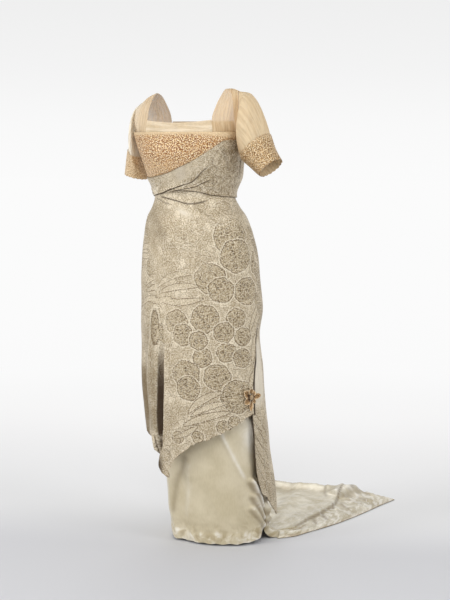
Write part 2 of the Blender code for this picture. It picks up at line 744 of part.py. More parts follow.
def build_train():
    """The satin skirt's back in one with the train, which lies on the floor in long soft folds."""
    seam = math.degrees(SKIRT_SEAM / 2 / 0.15) / SIDE_SEAM_BACK
    across = span(-1 + seam, 1 - seam, 27)[::-1]
    outer = train_surface(across, 12, 5, 11)
    normal = grid_normals(outer)
    inner = outer - normal * SATIN
    wall("underskirt_back_train", outer, inner, "satin")


def rosette_frame():
    """The rosette's middle on the tunic, with its outward, sideways and upward directions."""
    relief = float(tunic_front_relief(np.array(ROSETTE_ANGLE), np.array(ROSETTE_HEIGHT)))
    out = FRONT_OUT + BROCADE + relief
    middle = ring(BODY, ROSETTE_ANGLE, ROSETTE_HEIGHT, out)
    ahead = ring(BODY, ROSETTE_ANGLE, ROSETTE_HEIGHT, out + 0.01)
    outwards = (ahead - middle) / np.linalg.norm(ahead - middle)
    upwards = np.array([0.0, 0.0, 1.0])
    sideways = np.cross(upwards, outwards)
    return middle, outwards, sideways, upwards


def ellipsoid(name, centre, axes, finish, rings=6, segments=12):
    """A closed ellipsoid with its three half axes given as vectors."""
    work = bmesh.new()
    bmesh.ops.create_uvsphere(work, u_segments=segments, v_segments=rings, radius=1.0)
    points = np.array([vertex.co for vertex in work.verts])
    faces = [[vertex.index for vertex in face.verts] for face in work.faces]
    work.free()
    placed = worn(np.asarray(centre) + points @ np.array(axes))
    mesh = bpy.data.meshes.new(name)
    mesh.from_pydata(placed.tolist(), [], faces)
    work = bmesh.new()
    work.from_mesh(mesh)
    bmesh.ops.recalc_face_normals(work, faces=work.faces)
    work.to_mesh(mesh)
    work.free()
    mesh.materials.append(material(finish))
    mesh.shade_smooth()
    made = bpy.data.objects.new(name, mesh)
    bpy.context.scene.collection.objects.link(made)
    return made


def build_rosette():
    """The gilt ribbon flower that closes the tunic: a ring of petals round a button centre."""
    middle, outwards, sideways, upwards = rosette_frame()
    ellipsoid(
        "rosette_centre",
        middle + outwards * ROSETTE_CENTRE_LIFT,
        (sideways * 0.0068, outwards * 0.0040, upwards * 0.0068),
        "gilt",
    )
    for k in range(ROSETTE_PETALS):
        turn = 2 * math.pi * k / ROSETTE_PETALS
        along = sideways * math.cos(turn) + upwards * math.sin(turn)
        across = np.cross(outwards, along)
        centre = middle + along * ROSETTE_RADIUS + outwards * PETAL_LIFT
        tilt = along * PETAL_LENGTH / 2 + outwards * ROSETTE_PROUD * 0.4
        ellipsoid(
            f"rosette_petal_{k + 1}",
            centre,
            (tilt, outwards * ROSETTE_PROUD, across * PETAL_WIDTH),
            "gilt",
            rings=4,
            segments=10,
        )


def main():
    clear_scene()
    build_lace_front()
    build_lace_back()
    build_neck_edgings()
    build_shoulder_band("shoulder_band_left", 1)
    build_shoulder_band("shoulder_band_right", -1)
    build_sleeve("left", 1, LEFT_SLEEVE)
    build_sleeve("right", -1, RIGHT_SLEEVE)
    build_wrap()
    build_tunic_back()
    build_tunic_front()
    build_sheath_front()
    build_train()
    build_rosette()


main()
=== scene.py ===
# %% [markdown]
# # An evening dress of about 1912, worn and standing on the floor
#
# The dress has a gold lace bodice with net sleeves, a brocade wrap and tunic, and a satin skirt with a train.
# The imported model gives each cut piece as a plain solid. This lesson puts real cloth in the place of each
# solid: a thin wall on the same form, with its folds, its pattern and its sheen.

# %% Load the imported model
import math

import bpy
import numpy as np
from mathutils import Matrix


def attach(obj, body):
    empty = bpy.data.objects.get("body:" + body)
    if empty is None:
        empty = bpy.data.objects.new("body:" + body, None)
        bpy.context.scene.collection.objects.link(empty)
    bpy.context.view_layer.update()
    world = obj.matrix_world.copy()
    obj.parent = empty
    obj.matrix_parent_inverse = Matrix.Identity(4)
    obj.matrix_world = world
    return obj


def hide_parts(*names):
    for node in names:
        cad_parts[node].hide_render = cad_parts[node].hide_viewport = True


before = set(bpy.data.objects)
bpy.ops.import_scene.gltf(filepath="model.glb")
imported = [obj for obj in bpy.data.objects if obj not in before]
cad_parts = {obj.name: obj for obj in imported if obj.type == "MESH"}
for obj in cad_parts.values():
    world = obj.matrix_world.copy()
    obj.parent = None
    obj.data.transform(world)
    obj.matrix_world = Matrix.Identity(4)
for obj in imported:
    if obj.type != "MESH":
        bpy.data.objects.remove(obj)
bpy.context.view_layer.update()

print("solids in the frame:", len(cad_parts))

# %% [markdown]
# ## The camera
#
# A picture is easiest to compare when the camera stands where the photographer stood. Here it stands four
# and a half metres away, a little above the dress's waist and to its left, and tilts down by under 6 degrees.
# A level camera with a shifted frame is the other way, but every other view would inherit its shift.

# %% Camera
ORIGIN = np.array([-0.01, -0.03, 1.372])
CAMERA_PLACE = np.array([2.0094, -3.9075, 1.1842])
CAMERA_TURN = 0.45463
CAMERA_TILT = 0.0994
CAMERA_LENS = 87.285

camera = bpy.data.objects.new("camera", bpy.data.cameras.new("camera"))
camera.data.lens = CAMERA_LENS
camera.data.sensor_width = 36.0
camera.data.sensor_fit = "AUTO"
camera.data.dof.use_dof = False
camera.location = CAMERA_PLACE - ORIGIN
camera.rotation_euler = (math.pi / 2 - CAMERA_TILT, 0.0, CAMERA_TURN)
bpy.context.scene.collection.objects.link(camera)
bpy.context.scene.camera = camera
bpy.context.scene.view_settings.view_transform = "Standard"
print("camera at", [round(float(v), 3) for v in camera.location])

# %% [markdown]
# ## Steps of a finish
#
# A finish is a tree of nodes. To keep each one short to read, a small class adds a node, fills its inputs
# with numbers or with other nodes' outputs, and hands back the result.


# %% Steps of a finish
def colour(red, green, blue):
    """A colour that is read off a screen as 0 to 255, turned into light."""
    screen = np.array([red, green, blue]) / 255.0
    light = np.where(screen <= 0.04045, screen / 12.92, ((screen + 0.055) / 1.055) ** 2.4)
    return (*[float(v) for v in light], 1.0)


def add_node(tree, kind, inputs, output=0, **settings):
    """One node: its settings, its inputs by name or number, and the output that is wanted."""
    made = tree.nodes.new(kind)
    for name, value in settings.items():
        setattr(made, name, value)
    for key, value in inputs.items():
        if isinstance(value, bpy.types.NodeSocket):
            tree.links.new(value, made.inputs[key])
        else:
            made.inputs[key].default_value = value
    return made.outputs[output]


class Finish:
    """A material under construction. Each method adds one step, and tint is the colour so far. A plain
    colour is three numbers from 0 to 255."""

    def __init__(self, name):
        self.material = bpy.data.materials.new(name)
        self.material.use_nodes = True
        self.tree = self.material.node_tree
        self.shader = self.tree.nodes["Principled BSDF"]
        self.tint = None

    def step(self, kind, inputs, output=0, **settings):
        """One node of this material."""
        return add_node(self.tree, kind, inputs, output, **settings)

    def cloth_metres(self):
        """The piece's own map: metres across the cloth and metres up it."""
        return self.step("ShaderNodeTexCoord", {}, output="UV")

    def field(self, name):
        """A number that the mesh carries at each of its points."""
        return self.step("ShaderNodeAttribute", {}, output="Fac", attribute_name=name)

    def sum(self, kind, first, second=0.0, third=0.0):
        """A sum of one, two or three values."""
        return self.step("ShaderNodeMath", {0: first, 1: second, 2: third}, operation=kind)

    def times(self, first, second):
        """One value times another."""
        return self.sum("MULTIPLY", first, second)

    def ramp(self, value, start, end, low=0.0, high=1.0):
        """low where the value is at start, high where it is at end, and smooth between."""
        inputs = {"Value": value, "From Min": start, "From Max": end, "To Min": low, "To Max": high}
        return self.step("ShaderNodeMapRange", inputs, interpolation_type="SMOOTHSTEP")

    def blend(self, share, first, second):
        """The first colour where share is 0 and the second where it is 1."""
        first, second = (colour(*c) if isinstance(c, tuple) else c for c in (first, second))
        return self.step("ShaderNodeMix", {0: share, 6: first, 7: second}, output=2, data_type="RGBA")

    def lay(self, share, above):
        """Lays a colour over the tint, as strongly as share says."""
        self.tint = self.blend(share, self.tint, above)

    def noise(self, where, size, detail=2.0, distortion=0.0, output=0):
        """Cloudy noise with lumps of the given size in metres."""
        inputs = {"Vector": where, "Scale": 1.0 / size, "Detail": detail, "Distortion": distortion}
        return self.step("ShaderNodeTexNoise", inputs, output=output)

    def cells(self, where, size, output="Distance", **settings):
        """Cells of the given size in metres."""
        inputs = {"Vector": where, "Scale": 1.0 / size}
        return self.step("ShaderNodeTexVoronoi", inputs, output=output, **settings)

    def threads(self, where, scale, distortion):
        """Fine even threads, as a wave."""
        inputs = {"Vector": where, "Scale": scale, "Distortion": distortion}
        return self.step("ShaderNodeTexWave", inputs, output=1)

    def stretched(self, where, across, up):
        """The map stretched, so that a pattern on it is finer or longer one way."""
        return self.step("ShaderNodeMapping", {"Vector": where, "Scale": (across, up, 1.0)})

    def warped(self, where, size, reach):
        """The map moved about by cloudy noise of the given size, by up to half the given reach."""
        drift = self.noise(where, size, 1.0, output=1)
        inputs = {0: drift, 1: (reach, reach, 0.0), 2: where}
        return self.step("ShaderNodeVectorMath", inputs, operation="MULTIPLY_ADD")

    def masked(self, clear, off, near, far, strength):
        """A drawn line: full where off is under near, gone past far, and only as strong as clear allows."""
        return self.times(self.ramp(off, near, far, strength, 0.0), clear)

    def relief(self, height, depth, below=None):
        """A small relief on the surface, of the given depth in metres."""
        inputs = {"Height": height, "Distance": depth, "Strength": 1.0}
        if below is not None:
            inputs["Normal"] = below
        return self.step("ShaderNodeBump", inputs)

    def put(self, **values):
        """Fills the shader's sockets."""
        for name, value in values.items():
            socket = self.shader.inputs[name.replace("_", " ").title()]
            if isinstance(value, bpy.types.NodeSocket):
                self.tree.links.new(value, socket)
            else:
                socket.default_value = value
        return self.material


print("ivory as light:", [round(v, 3) for v in colour(226, 212, 187)])

# %% [markdown]
# ## The floor and the light
#
# The dress stands on a plain pale floor that fades into a white room; its grey in front of the dress and its
# paleness behind are painted light and shade. The floor could be a curved sheet of paper, as in a studio. A
# flat sheet that glows like the room further out, a painted glow, is as soft from every side.
# The light is soft: broad panels from the left and the front, weaker ones opposite, and a white room.


# %% Floor
FLOOR_DROP = -float(ORIGIN[2]) - 0.0004
FLOOR_REACH = 60.0


def build_floor():
    """A square sheet on the floor. Painted shade makes it grey in front of the dress and painted light makes
    it paler behind it, and further out a painted glow gives it the room's own white."""
    mesh = bpy.data.meshes.new("floor")
    corners = ((-1, -1), (1, -1), (1, 1), (-1, 1))
    points = [(x * FLOOR_REACH, y * FLOOR_REACH, FLOOR_DROP) for x, y in corners]
    mesh.from_pydata(points, [], [(0, 1, 2, 3)])
    f = Finish("floor_paper")
    place = f.step("ShaderNodeTexCoord", {}, output="Object")
    x, y = (f.step("ShaderNodeSeparateXYZ", {0: place}, output=axis) for axis in "XY")
    back = f.sum("MULTIPLY_ADD", x, -0.3, y)
    from_dress = f.step("ShaderNodeMapping", {"Vector": place, "Location": (-0.2, 0.4, -FLOOR_DROP)})
    away = f.step("ShaderNodeVectorMath", {0: from_dress}, output="Value", operation="LENGTH")
    grain = f.noise(place, 0.9, 2.0)
    gone = f.ramp(away, 1.2, 4.2)
    near, far = f.ramp(back, -0.1, 0.5), f.ramp(back, 0.3, 2.5)
    # painted light and shade: greyer in front of the dress, paler behind it
    f.tint = f.blend(near, (209, 210, 214), (234, 235, 237))
    f.lay(far, (251, 251, 252))
    f.lay(f.times(grain, 0.05), (255, 255, 255))
    f.lay(gone, (0, 0, 0))
    paper = f.tint
    # the painted glow: further out the floor glows with the room's white, though it is no lamp
    f.tint = f.blend(near, (217, 217, 219), (235, 235, 236))
    f.lay(far, (250, 250, 250))
    f.lay(f.ramp(away, 2.6, 8.0), (251, 251, 251))
    f.put(base_color=paper, roughness=0.8, emission_color=f.tint, emission_strength=gone)
    f.shader.inputs["Specular IOR Level"].default_value = 0.0
    mesh.materials.append(f.material)
    floor = bpy.data.objects.new("floor", mesh)
    bpy.context.scene.collection.objects.link(floor)


build_floor()
print("floor at", round(FLOOR_DROP, 4))


# %% Light
ROOM_LIGHT = 0.62
# height of a view ray, and the room's grey there
ROOM_GREYS = ((-0.2, 244), (-0.154, 247), (-0.1, 249), (-0.04, 252), (0.02, 249), (0.055, 244), (0.11, 238))


def build_room():
    """The white room: what the camera sees of it, and how much light it gives."""
    room = bpy.data.worlds.new("room")
    room.use_nodes = True
    tree = room.node_tree
    view_ray = add_node(tree, "ShaderNodeTexCoord", {}, "Generated")
    rise = add_node(tree, "ShaderNodeSeparateXYZ", {0: view_ray}, "Z")
    low, high = ROOM_GREYS[0][0], ROOM_GREYS[-1][0]
    share = add_node(tree, "ShaderNodeMapRange", {"Value": rise, "From Min": low, "From Max": high})
    greys = add_node(tree, "ShaderNodeValToRGB", {0: share})
    ramp = greys.node.color_ramp
    ramp.interpolation = "B_SPLINE"
    for k, (at, grey) in enumerate(ROOM_GREYS):
        place = (at - low) / (high - low)
        stop = ramp.elements[k] if k < 2 else ramp.elements.new(place)
        stop.position, stop.color = place, colour(grey, grey, grey)
    seen = tree.nodes["Background"]
    tree.links.new(greys, seen.inputs["Color"])
    given = add_node(tree, "ShaderNodeBackground", {"Color": (1.0, 0.99, 0.975, 1.0), "Strength": ROOM_LIGHT})
    is_seen = add_node(tree, "ShaderNodeLightPath", {}, "Is Camera Ray")
    either = add_node(tree, "ShaderNodeMixShader", {0: is_seen, 1: given, 2: seen.outputs[0]})
    tree.links.new(either, tree.nodes["World Output"].inputs["Surface"])
    bpy.context.scene.world = room


def build_panel_light(name, place, aim, width, height, power):
    """A soft light panel at a place, turned to its aim. Both are in the dress's own frame."""
    lamp = bpy.data.lights.new(name, "AREA")
    lamp.shape = "RECTANGLE"
    lamp.size, lamp.size_y = width, height
    lamp.energy = power
    holder = bpy.data.objects.new(name, lamp)
    holder.location = place
    way = np.array(aim) - np.array(place)
    level = math.hypot(way[0], way[1])
    holder.rotation_euler = (math.atan2(level, -way[2]), 0.0, math.atan2(-way[0], way[1]))
    bpy.context.scene.collection.objects.link(holder)


LIGHT_PANELS = (
    ("light_left", (-2.2, -2.9, 0.55), (0.0, 0.0, -0.6), 1.5, 2.2, 50.0),
    ("light_front", (1.6, -4.0, 1.3), (0.0, 0.0, -0.7), 1.6, 1.2, 38.0),
    ("light_right", (3.2, -0.6, 0.9), (0.0, 0.1, -0.8), 1.2, 1.8, 26.0),
    ("light_back", (-1.2, 2.8, 1.4), (0.0, 0.2, -0.8), 1.8, 1.6, 24.0),
)
build_room()
for row in LIGHT_PANELS:
    build_panel_light(*row)
print("light panels:", len(LIGHT_PANELS))

# %% [markdown]
# ## The form that the dress is worn on
#
# Dressmakers describe a form by its girths at a list of levels. The tables below do the same: for each
# height above the floor they give the middle, the half width, and the depth to the front and the back.
# Between the rows the form is drawn as smooth curves. A modelled form would be the other way, but a table of
# levels is how a pattern is drafted, and every cloth can then lie on the same form.

# %% Tables of the form
# height, middle x, middle y, half width, depth in front, depth behind
BODY = np.array([
    (1.31, 0, -0.026, 0.166, 0.084, 0.08), (1.286, 0, -0.024, 0.171, 0.096, 0.084),
    (1.252, 0, -0.018, 0.176, 0.11, 0.09), (1.225, 0, -0.012, 0.171, 0.124, 0.096),
    (1.19, 0, -0.006, 0.16, 0.133, 0.1), (1.155, 0, -0.003, 0.151, 0.127, 0.099),
    (1.114, 0, 0, 0.143, 0.11, 0.096), (1.085, 0, 0, 0.129, 0.096, 0.09),
    (1.06, 0, 0, 0.1195, 0.0875, 0.0865), (1.03, 0, 0.002, 0.1305, 0.096, 0.1),
    (1, 0.001, 0.005, 0.148, 0.107, 0.119), (0.95, 0.003, 0.01, 0.163, 0.117, 0.137),
    (0.89, 0.004, 0.015, 0.174, 0.123, 0.148), (0.83, 0.004, 0.018, 0.1785, 0.126, 0.154),
    (0.77, 0.005, 0.022, 0.182, 0.129, 0.157), (0.71, 0.006, 0.025, 0.185, 0.132, 0.159),
    (0.65, 0.005, 0.026, 0.184, 0.133, 0.157), (0.59, 0.005, 0.027, 0.183, 0.134, 0.156),
    (0.53, 0.006, 0.03, 0.184, 0.136, 0.155), (0.47, 0.008, 0.036, 0.184, 0.141, 0.154),
    (0.41, 0.01, 0.044, 0.183, 0.148, 0.155), (0.35, 0.013, 0.055, 0.181, 0.157, 0.161),
    (0.28, 0.016, 0.066, 0.178, 0.166, 0.171), (0.2, 0.02, 0.076, 0.178, 0.174, 0.185),
    (0.14, 0.022, 0.084, 0.178, 0.179, 0.199), (0.06, 0.022, 0.09, 0.177, 0.182, 0.212),
])
SHEATH = np.array([
    (1.085, 0, 0, 0.129, 0.096, 0.09), (1.06, 0, 0, 0.1195, 0.0875, 0.0865),
    (1.03, 0, 0.002, 0.1297, 0.0952, 0.0992), (1, 0.001, 0.005, 0.1462, 0.1052, 0.1172),
    (0.95, 0.003, 0.01, 0.1595, 0.1135, 0.1335), (0.83, 0.004, 0.018, 0.174, 0.1215, 0.149),
    (0.71, 0.006, 0.025, 0.177, 0.124, 0.151), (0.59, 0.006, 0.028, 0.171, 0.122, 0.146),
    (0.47, 0.01, 0.038, 0.161, 0.12, 0.14), (0.35, 0.018, 0.055, 0.148, 0.118, 0.134),
    (0.22, 0.02, 0.066, 0.141, 0.119, 0.128), (0.16, 0.024, 0.077, 0.145, 0.122, 0.126),
    (0.1, 0.027, 0.082, 0.146, 0.124, 0.126), (0.05, 0.032, 0.09, 0.144, 0.125, 0.126),
    (0, 0.033, 0.092, 0.1415, 0.124, 0.125),
])
print("levels on the body form:", len(BODY), " on the skirt's form:", len(SHEATH))


# %% Curves through a table
def smooth(known_at, known, at):
    """A curve through known values that never swings past them: a cubic on each stretch, whose slope at a
    known value is the harmonic mean of the slopes on its two sides, or 0 where they point different ways."""
    order = np.argsort(known_at)
    x, y = np.asarray(known_at, float)[order], np.asarray(known, float)[order]
    at = np.clip(at, x[0], x[-1])
    step = np.diff(x)
    slope = np.diff(y) / step
    tangent = np.zeros(len(x))
    same_way = slope[:-1] * slope[1:] > 0
    mean = 2 * slope[:-1] * slope[1:] / np.where(same_way, slope[:-1] + slope[1:], 1)
    tangent[1:-1] = np.where(same_way, mean, 0)
    tangent[0], tangent[-1] = slope[0], slope[-1]
    cell = np.clip(np.searchsorted(x, at, side="right") - 1, 0, len(step) - 1)
    t = (at - x[cell]) / step[cell]
    return (
        (2 * t**3 - 3 * t**2 + 1) * y[cell]
        + (t**3 - 2 * t**2 + t) * step[cell] * tangent[cell]
        + (3 * t**2 - 2 * t**3) * y[cell + 1]
        + (t**3 - t**2) * step[cell] * tangent[cell + 1]
    )


def along(table, at, column=1):
    """A table's column at any value of its first column."""
    table = np.asarray(table, float)
    return smooth(table[:, 0], table[:, column], at)


def ease(value, start, end):
    """0 at start and 1 at end: three times the square of the share, less twice its cube."""
    t = np.clip((value - start) / (end - start), 0, 1)
    return t * t * (3 - 2 * t)


def bell(distance, half_width):
    """A soft hump, e to the minus square of the distance in half widths."""
    return np.exp(-((distance / half_width) ** 2))


print("half width at the waist:", round(float(along(BODY, 1.06, 3)), 4))


# %% A point on the form
ROUNDNESS = 2.3


def on_form(form, angle, height, out=0.0):
    """Points of a form. The outline at a height is |x / half width| and |y / depth|, each to the power of
    2.3, with a sum of 1. The point is then moved out along the outline's normal. Angle 0 is the middle of
    the front, 90 the wearer's left side and 180 the back."""
    angle, height, out = np.broadcast_arrays(np.radians(angle), height, out)
    half, front, back = (along(form, height, k) for k in (3, 4, 5))
    sine, cosine = np.sin(angle), np.cos(angle)
    reach = (np.abs(sine) ** ROUNDNESS + np.abs(cosine) ** ROUNDNESS) ** (-1 / ROUNDNESS)
    depth = np.where(cosine > 0, front, back)
    across, ahead = reach * sine, reach * cosine
    normal_x = np.sign(across) * np.abs(across) ** (ROUNDNESS - 1) / half
    normal_y = -np.sign(ahead) * np.abs(ahead) ** (ROUNDNESS - 1) / depth
    size = np.hypot(normal_x, normal_y)
    x = along(form, height, 1) + half * across + out * normal_x / size
    y = along(form, height, 2) - depth * ahead + out * normal_y / size
    return np.stack([x, y, height], -1)


LEAN_SIDE = -0.01
LEAN_TILT = 0.074


def worn(points):
    """Above the waist the form leans a little to its right and that shoulder drops. Heights above the floor
    then become heights from the shoulders, where the dress hangs."""
    points = np.array(points, float)
    height = points[..., 2].copy()
    points[..., 2] += LEAN_TILT * points[..., 0] * ease(height, 1.286, 1.36)
    points[..., 0] += LEAN_SIDE * ease(height, 1.09, 1.3)
    return points - ORIGIN


print("middle of the waist in front:", worn(on_form(BODY, 0.0, 1.06)).round(4))

# %% [markdown]
# ## A tape measure round the form
#
# A woven pattern keeps its size on the cloth, however the body turns. So every piece is mapped in metres of
# cloth: up is the height, and across is what a tape measure laid round the form reads from the middle of the
# front.

# %% Tape measure
TAPE_TURN, TAPE_RISE = 2.0, 0.01
TAPE_ANGLES = np.arange(-360.0, 361.0, TAPE_TURN)
TAPE_HEIGHTS = np.arange(TAPE_RISE, 1.321, TAPE_RISE)


def tape_table(form):
    """The length round the form from angle 0, at each height and angle of a table: the sum of its steps."""
    points = on_form(form, TAPE_ANGLES[None, :], TAPE_HEIGHTS[:, None])
    step = np.linalg.norm(np.diff(points[..., :2], axis=1), axis=-1)
    run = np.concatenate([np.zeros((len(TAPE_HEIGHTS), 1)), np.cumsum(step, axis=1)], 1)
    return run - run[:, [len(TAPE_ANGLES) // 2]]


TAPES = {"body": tape_table(BODY), "sheath": tape_table(SHEATH)}


def tape(name, angle, height):
    """The tape's reading at any angle and height, from the four nearest entries of its table."""
    table = TAPES[name]
    row = np.clip((height - TAPE_HEIGHTS[0]) / TAPE_RISE, 0, len(TAPE_HEIGHTS) - 1.001)
    column = np.clip((angle - TAPE_ANGLES[0]) / TAPE_TURN, 0, len(TAPE_ANGLES) - 1.001)
    r, c = row.astype(int), column.astype(int)
    dr, dc = row - r, column - c
    low = table[r, c] * (1 - dc) + table[r, c + 1] * dc
    high = table[r + 1, c] * (1 - dc) + table[r + 1, c + 1] * dc
    return low * (1 - dr) + high * dr


print("hip girth:", round(float(tape("body", np.array(180.0), np.array(0.89)) * 2), 3), "m")

# %% [markdown]
# ## Folds drawn as lines
#
# A dressmaker pins a fold along a line. Here a fold is a line through a few points on the cloth, and its
# height depends on the distance from that line. A lapped fold falls softly on one side and steeply on the
# other, where it also shades the cloth below. A ridge is the same on both sides. Simulated cloth would give
# other folds on each try, and these have to be where they are on the real dress.


# %% Lines on the cloth
FORM_RADIUS = 0.14
FULL_TURN = 6.283


def run_along(points):
    """How far along its line each point of a row lies."""
    return np.concatenate([[0], np.cumsum(np.linalg.norm(np.diff(points, axis=0), axis=1))])


def drawn(points, count=18):
    """A smooth line through a few points, as evenly spaced points."""
    points = np.asarray(points, float)
    run = run_along(points)
    at = np.linspace(0, run[-1], count)
    return np.stack([smooth(run, points[:, axis], at) for axis in range(points.shape[1])], 1)


def beside(x, y, line):
    """How far points lie from a line, plus on the left of its way and minus on the right, and how far along
    it they are, from 0 to 1."""
    best = np.full(np.shape(x), 1e9)
    side = np.ones(np.shape(x))
    share = np.zeros(np.shape(x))
    steps = np.diff(line, axis=0)
    for k, (run_x, run_y) in enumerate(steps):
        size = run_x**2 + run_y**2
        t = ((x - line[k, 0]) * run_x + (y - line[k, 1]) * run_y) / size
        held = np.clip(t, 0, 1)
        away_x, away_y = x - line[k, 0] - held * run_x, y - line[k, 1] - held * run_y
        distance = np.hypot(away_x, away_y)
        nearer = distance < best
        turn = run_x * (y - line[k, 1]) - run_y * (x - line[k, 0])
        best = np.where(nearer, distance, best)
        side = np.where(nearer, np.where(turn >= 0, 1.0, -1.0), side)
        share = np.where(nearer, (k + held) / len(steps), share)
    return best * side, share


def fold(x, y, row):
    """One fold's height and shade. The row is: its height, its soft width, its steep width or 0 for a ridge,
    how dark its shade is, and the points of its line."""
    rise, soft, steep, dark, points = row
    off, share = beside(x, y, drawn(points))
    fade = ease(share, 0, 0.12) * (1 - ease(share, 0.8, 1))
    if steep > 0:
        high = np.where(off > 0, np.exp(-np.abs(off) / soft), bell(off, steep))
        shade = bell(off + 1.1 * steep, 1.1 * steep)
    else:
        high = bell(off, soft)
        shade = bell(off + 1.2 * soft, soft)
    return rise * high * fade, dark * shade * fade


def folds(x, y, rows):
    """All the folds of a piece: their heights add up, and the darkest shade holds."""
    moved, shade = np.zeros(np.shape(x)), np.zeros(np.shape(x))
    for row in rows:
        high, dark = fold(x, y, row)
        moved = moved + high
        shade = np.maximum(shade, dark)
    return moved, shade


def plan(angle):
    """An angle as metres across, for drawing folds: the angle in radians times the form's usual radius."""
    return np.radians(angle) * FORM_RADIUS


def pinned(rows):
    """Fold rows whose points are given as angle and height, as rows in metres."""
    return [(*row[:4], [(plan(angle), height) for angle, height in row[4]]) for row in rows]


def rumple(x, y, size, height):
    """Soft unevenness: four waves of about the given size that run different ways."""
    a, b = x / size * FULL_TURN, y / size * FULL_TURN
    waves = np.sin(a + 0.7 * np.sin(0.6 * b)) + np.sin(0.8 * b + 1.3 * np.sin(0.5 * a) + 1.0)
    waves = waves + 0.6 * np.sin(0.7 * a - 1.2 * b + 2.0) + 0.6 * np.sin(1.3 * a + 0.9 * b)
    return waves * height / 2.4


def near_line(x, y, points, width):
    """A soft stripe along a pinned line."""
    off, share = beside(x, y, drawn([(plan(a), h) for a, h in points]))
    return bell(off, width) * ease(share, 0, 0.1) * (1 - ease(share, 0.85, 1))


TEST_FOLD = (0.004, 0.01, 0.002, 1.0, [(-0.1, 0.0), (0.1, 0.0)])
print("a test fold's height 3 mm above its line:", round(float(fold(0.0, 0.003, TEST_FOLD)[0]), 5))

# %% [markdown]
# ## From a grid to a thin cloth
#
# Each piece of cloth is a grid of points. A second grid lies one thickness behind it, and narrow strips join
# the two along the open edges, so the cloth is a closed thin wall. The Solidify modifier could add the second
# grid too, but here both are known exactly, and so are the edges.


# %% Cloth wall
def grid_normals(points, round_it=False):
    """The normal at each point of a grid: across the direction to its neighbours beside and above it."""
    if round_it:
        wrapped = np.concatenate([points[:, -1:], points, points[:, :1]], 1)
        sideways = wrapped[:, 2:] - wrapped[:, :-2]
    else:
        sideways = np.gradient(points, axis=1)
    normal = np.cross(sideways, np.gradient(points, axis=0))
    return normal / np.linalg.norm(normal, axis=-1, keepdims=True)


def quads(number, behind, open_sides):
    """The faces of a wall: front, back with the other turn, and a strip on each open edge."""
    low, right = number[:-1, :-1].ravel(), number[:-1, 1:].ravel()
    high_right, high = number[1:, 1:].ravel(), number[1:, :-1].ravel()
    faces = np.stack([low, right, high_right, high], 1)
    edges = [number[0], number[-1][::-1]]
    if open_sides:
        edges += [number[::-1, 0], number[:, -1]]
    strips = [np.stack([e[1:], e[:-1], e[:-1] + behind, e[1:] + behind], 1) for e in edges]
    return np.concatenate([faces, faces[:, ::-1] + behind, *strips])


CLOTH_AREA = {}


def dressed_piece(name, points, faces, corner_map, fields, finish, node):
    """A mesh with its map in metres, the numbers it carries and its finish, in the place of one solid."""
    mesh = bpy.data.meshes.new(name)
    mesh.from_pydata(points.tolist(), [], faces)
    layer = mesh.uv_layers.new(name="cloth_metres")
    layer.data.foreach_set("uv", corner_map.astype(np.float32).ravel())
    for label, values in fields.items():
        carried = mesh.attributes.new(label, "FLOAT", "POINT")
        carried.data.foreach_set("value", values.astype(np.float32))
    mesh.materials.append(finish)
    mesh.shade_smooth()
    piece = bpy.data.objects.new(name, mesh)
    bpy.context.scene.collection.objects.link(piece)
    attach(piece, "root")
    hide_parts(node)
    return piece


def cloth(name, outer, thick, finish, uv, node, fields, round_it=False):
    """A closed thin wall behind a grid of points, with its map in metres and the numbers it carries. It
    takes the place of the named solid."""
    outer = worn(outer)
    normal = grid_normals(outer, round_it)
    rows, columns = outer.shape[:2]
    points = np.concatenate([outer.reshape(-1, 3), (outer - normal * thick).reshape(-1, 3)])
    number = np.arange(rows * columns).reshape(rows, columns)
    if round_it:
        number = np.concatenate([number, number[:, :1]], 1)
    faces = quads(number, rows * columns, not round_it)
    uv = np.stack(np.broadcast_arrays(*uv), -1)
    map_number = np.arange(uv.shape[0] * uv.shape[1]).reshape(uv.shape[:2])
    map_faces = quads(map_number, map_number.size, not round_it) % map_number.size
    a, b, c, d = (points[faces[:, k]] for k in range(4))
    turned = np.einsum("ij,ij->", a, np.cross(b, c) + np.cross(c, d)) < 0
    if turned:
        faces, map_faces = faces[:, ::-1], map_faces[:, ::-1]
    corner_map = uv.reshape(-1, 2)[map_faces.ravel()]
    carried = {}
    for label, values in fields.items():
        carried[label] = np.tile(np.broadcast_to(values, (rows, columns)).ravel(), 2)
    piece = dressed_piece(name, points, faces.tolist(), corner_map, carried, finish, node)
    piece.data.set_sharp_from_angle(angle=math.radians(60))
    area = np.linalg.norm(np.cross(c - a, d - b), axis=1).sum() / 4
    CLOTH_AREA[name] = float(area)
    print(f"{name}: {len(faces) * 2} triangles, {area:.4f} square metres of cloth")
    return piece
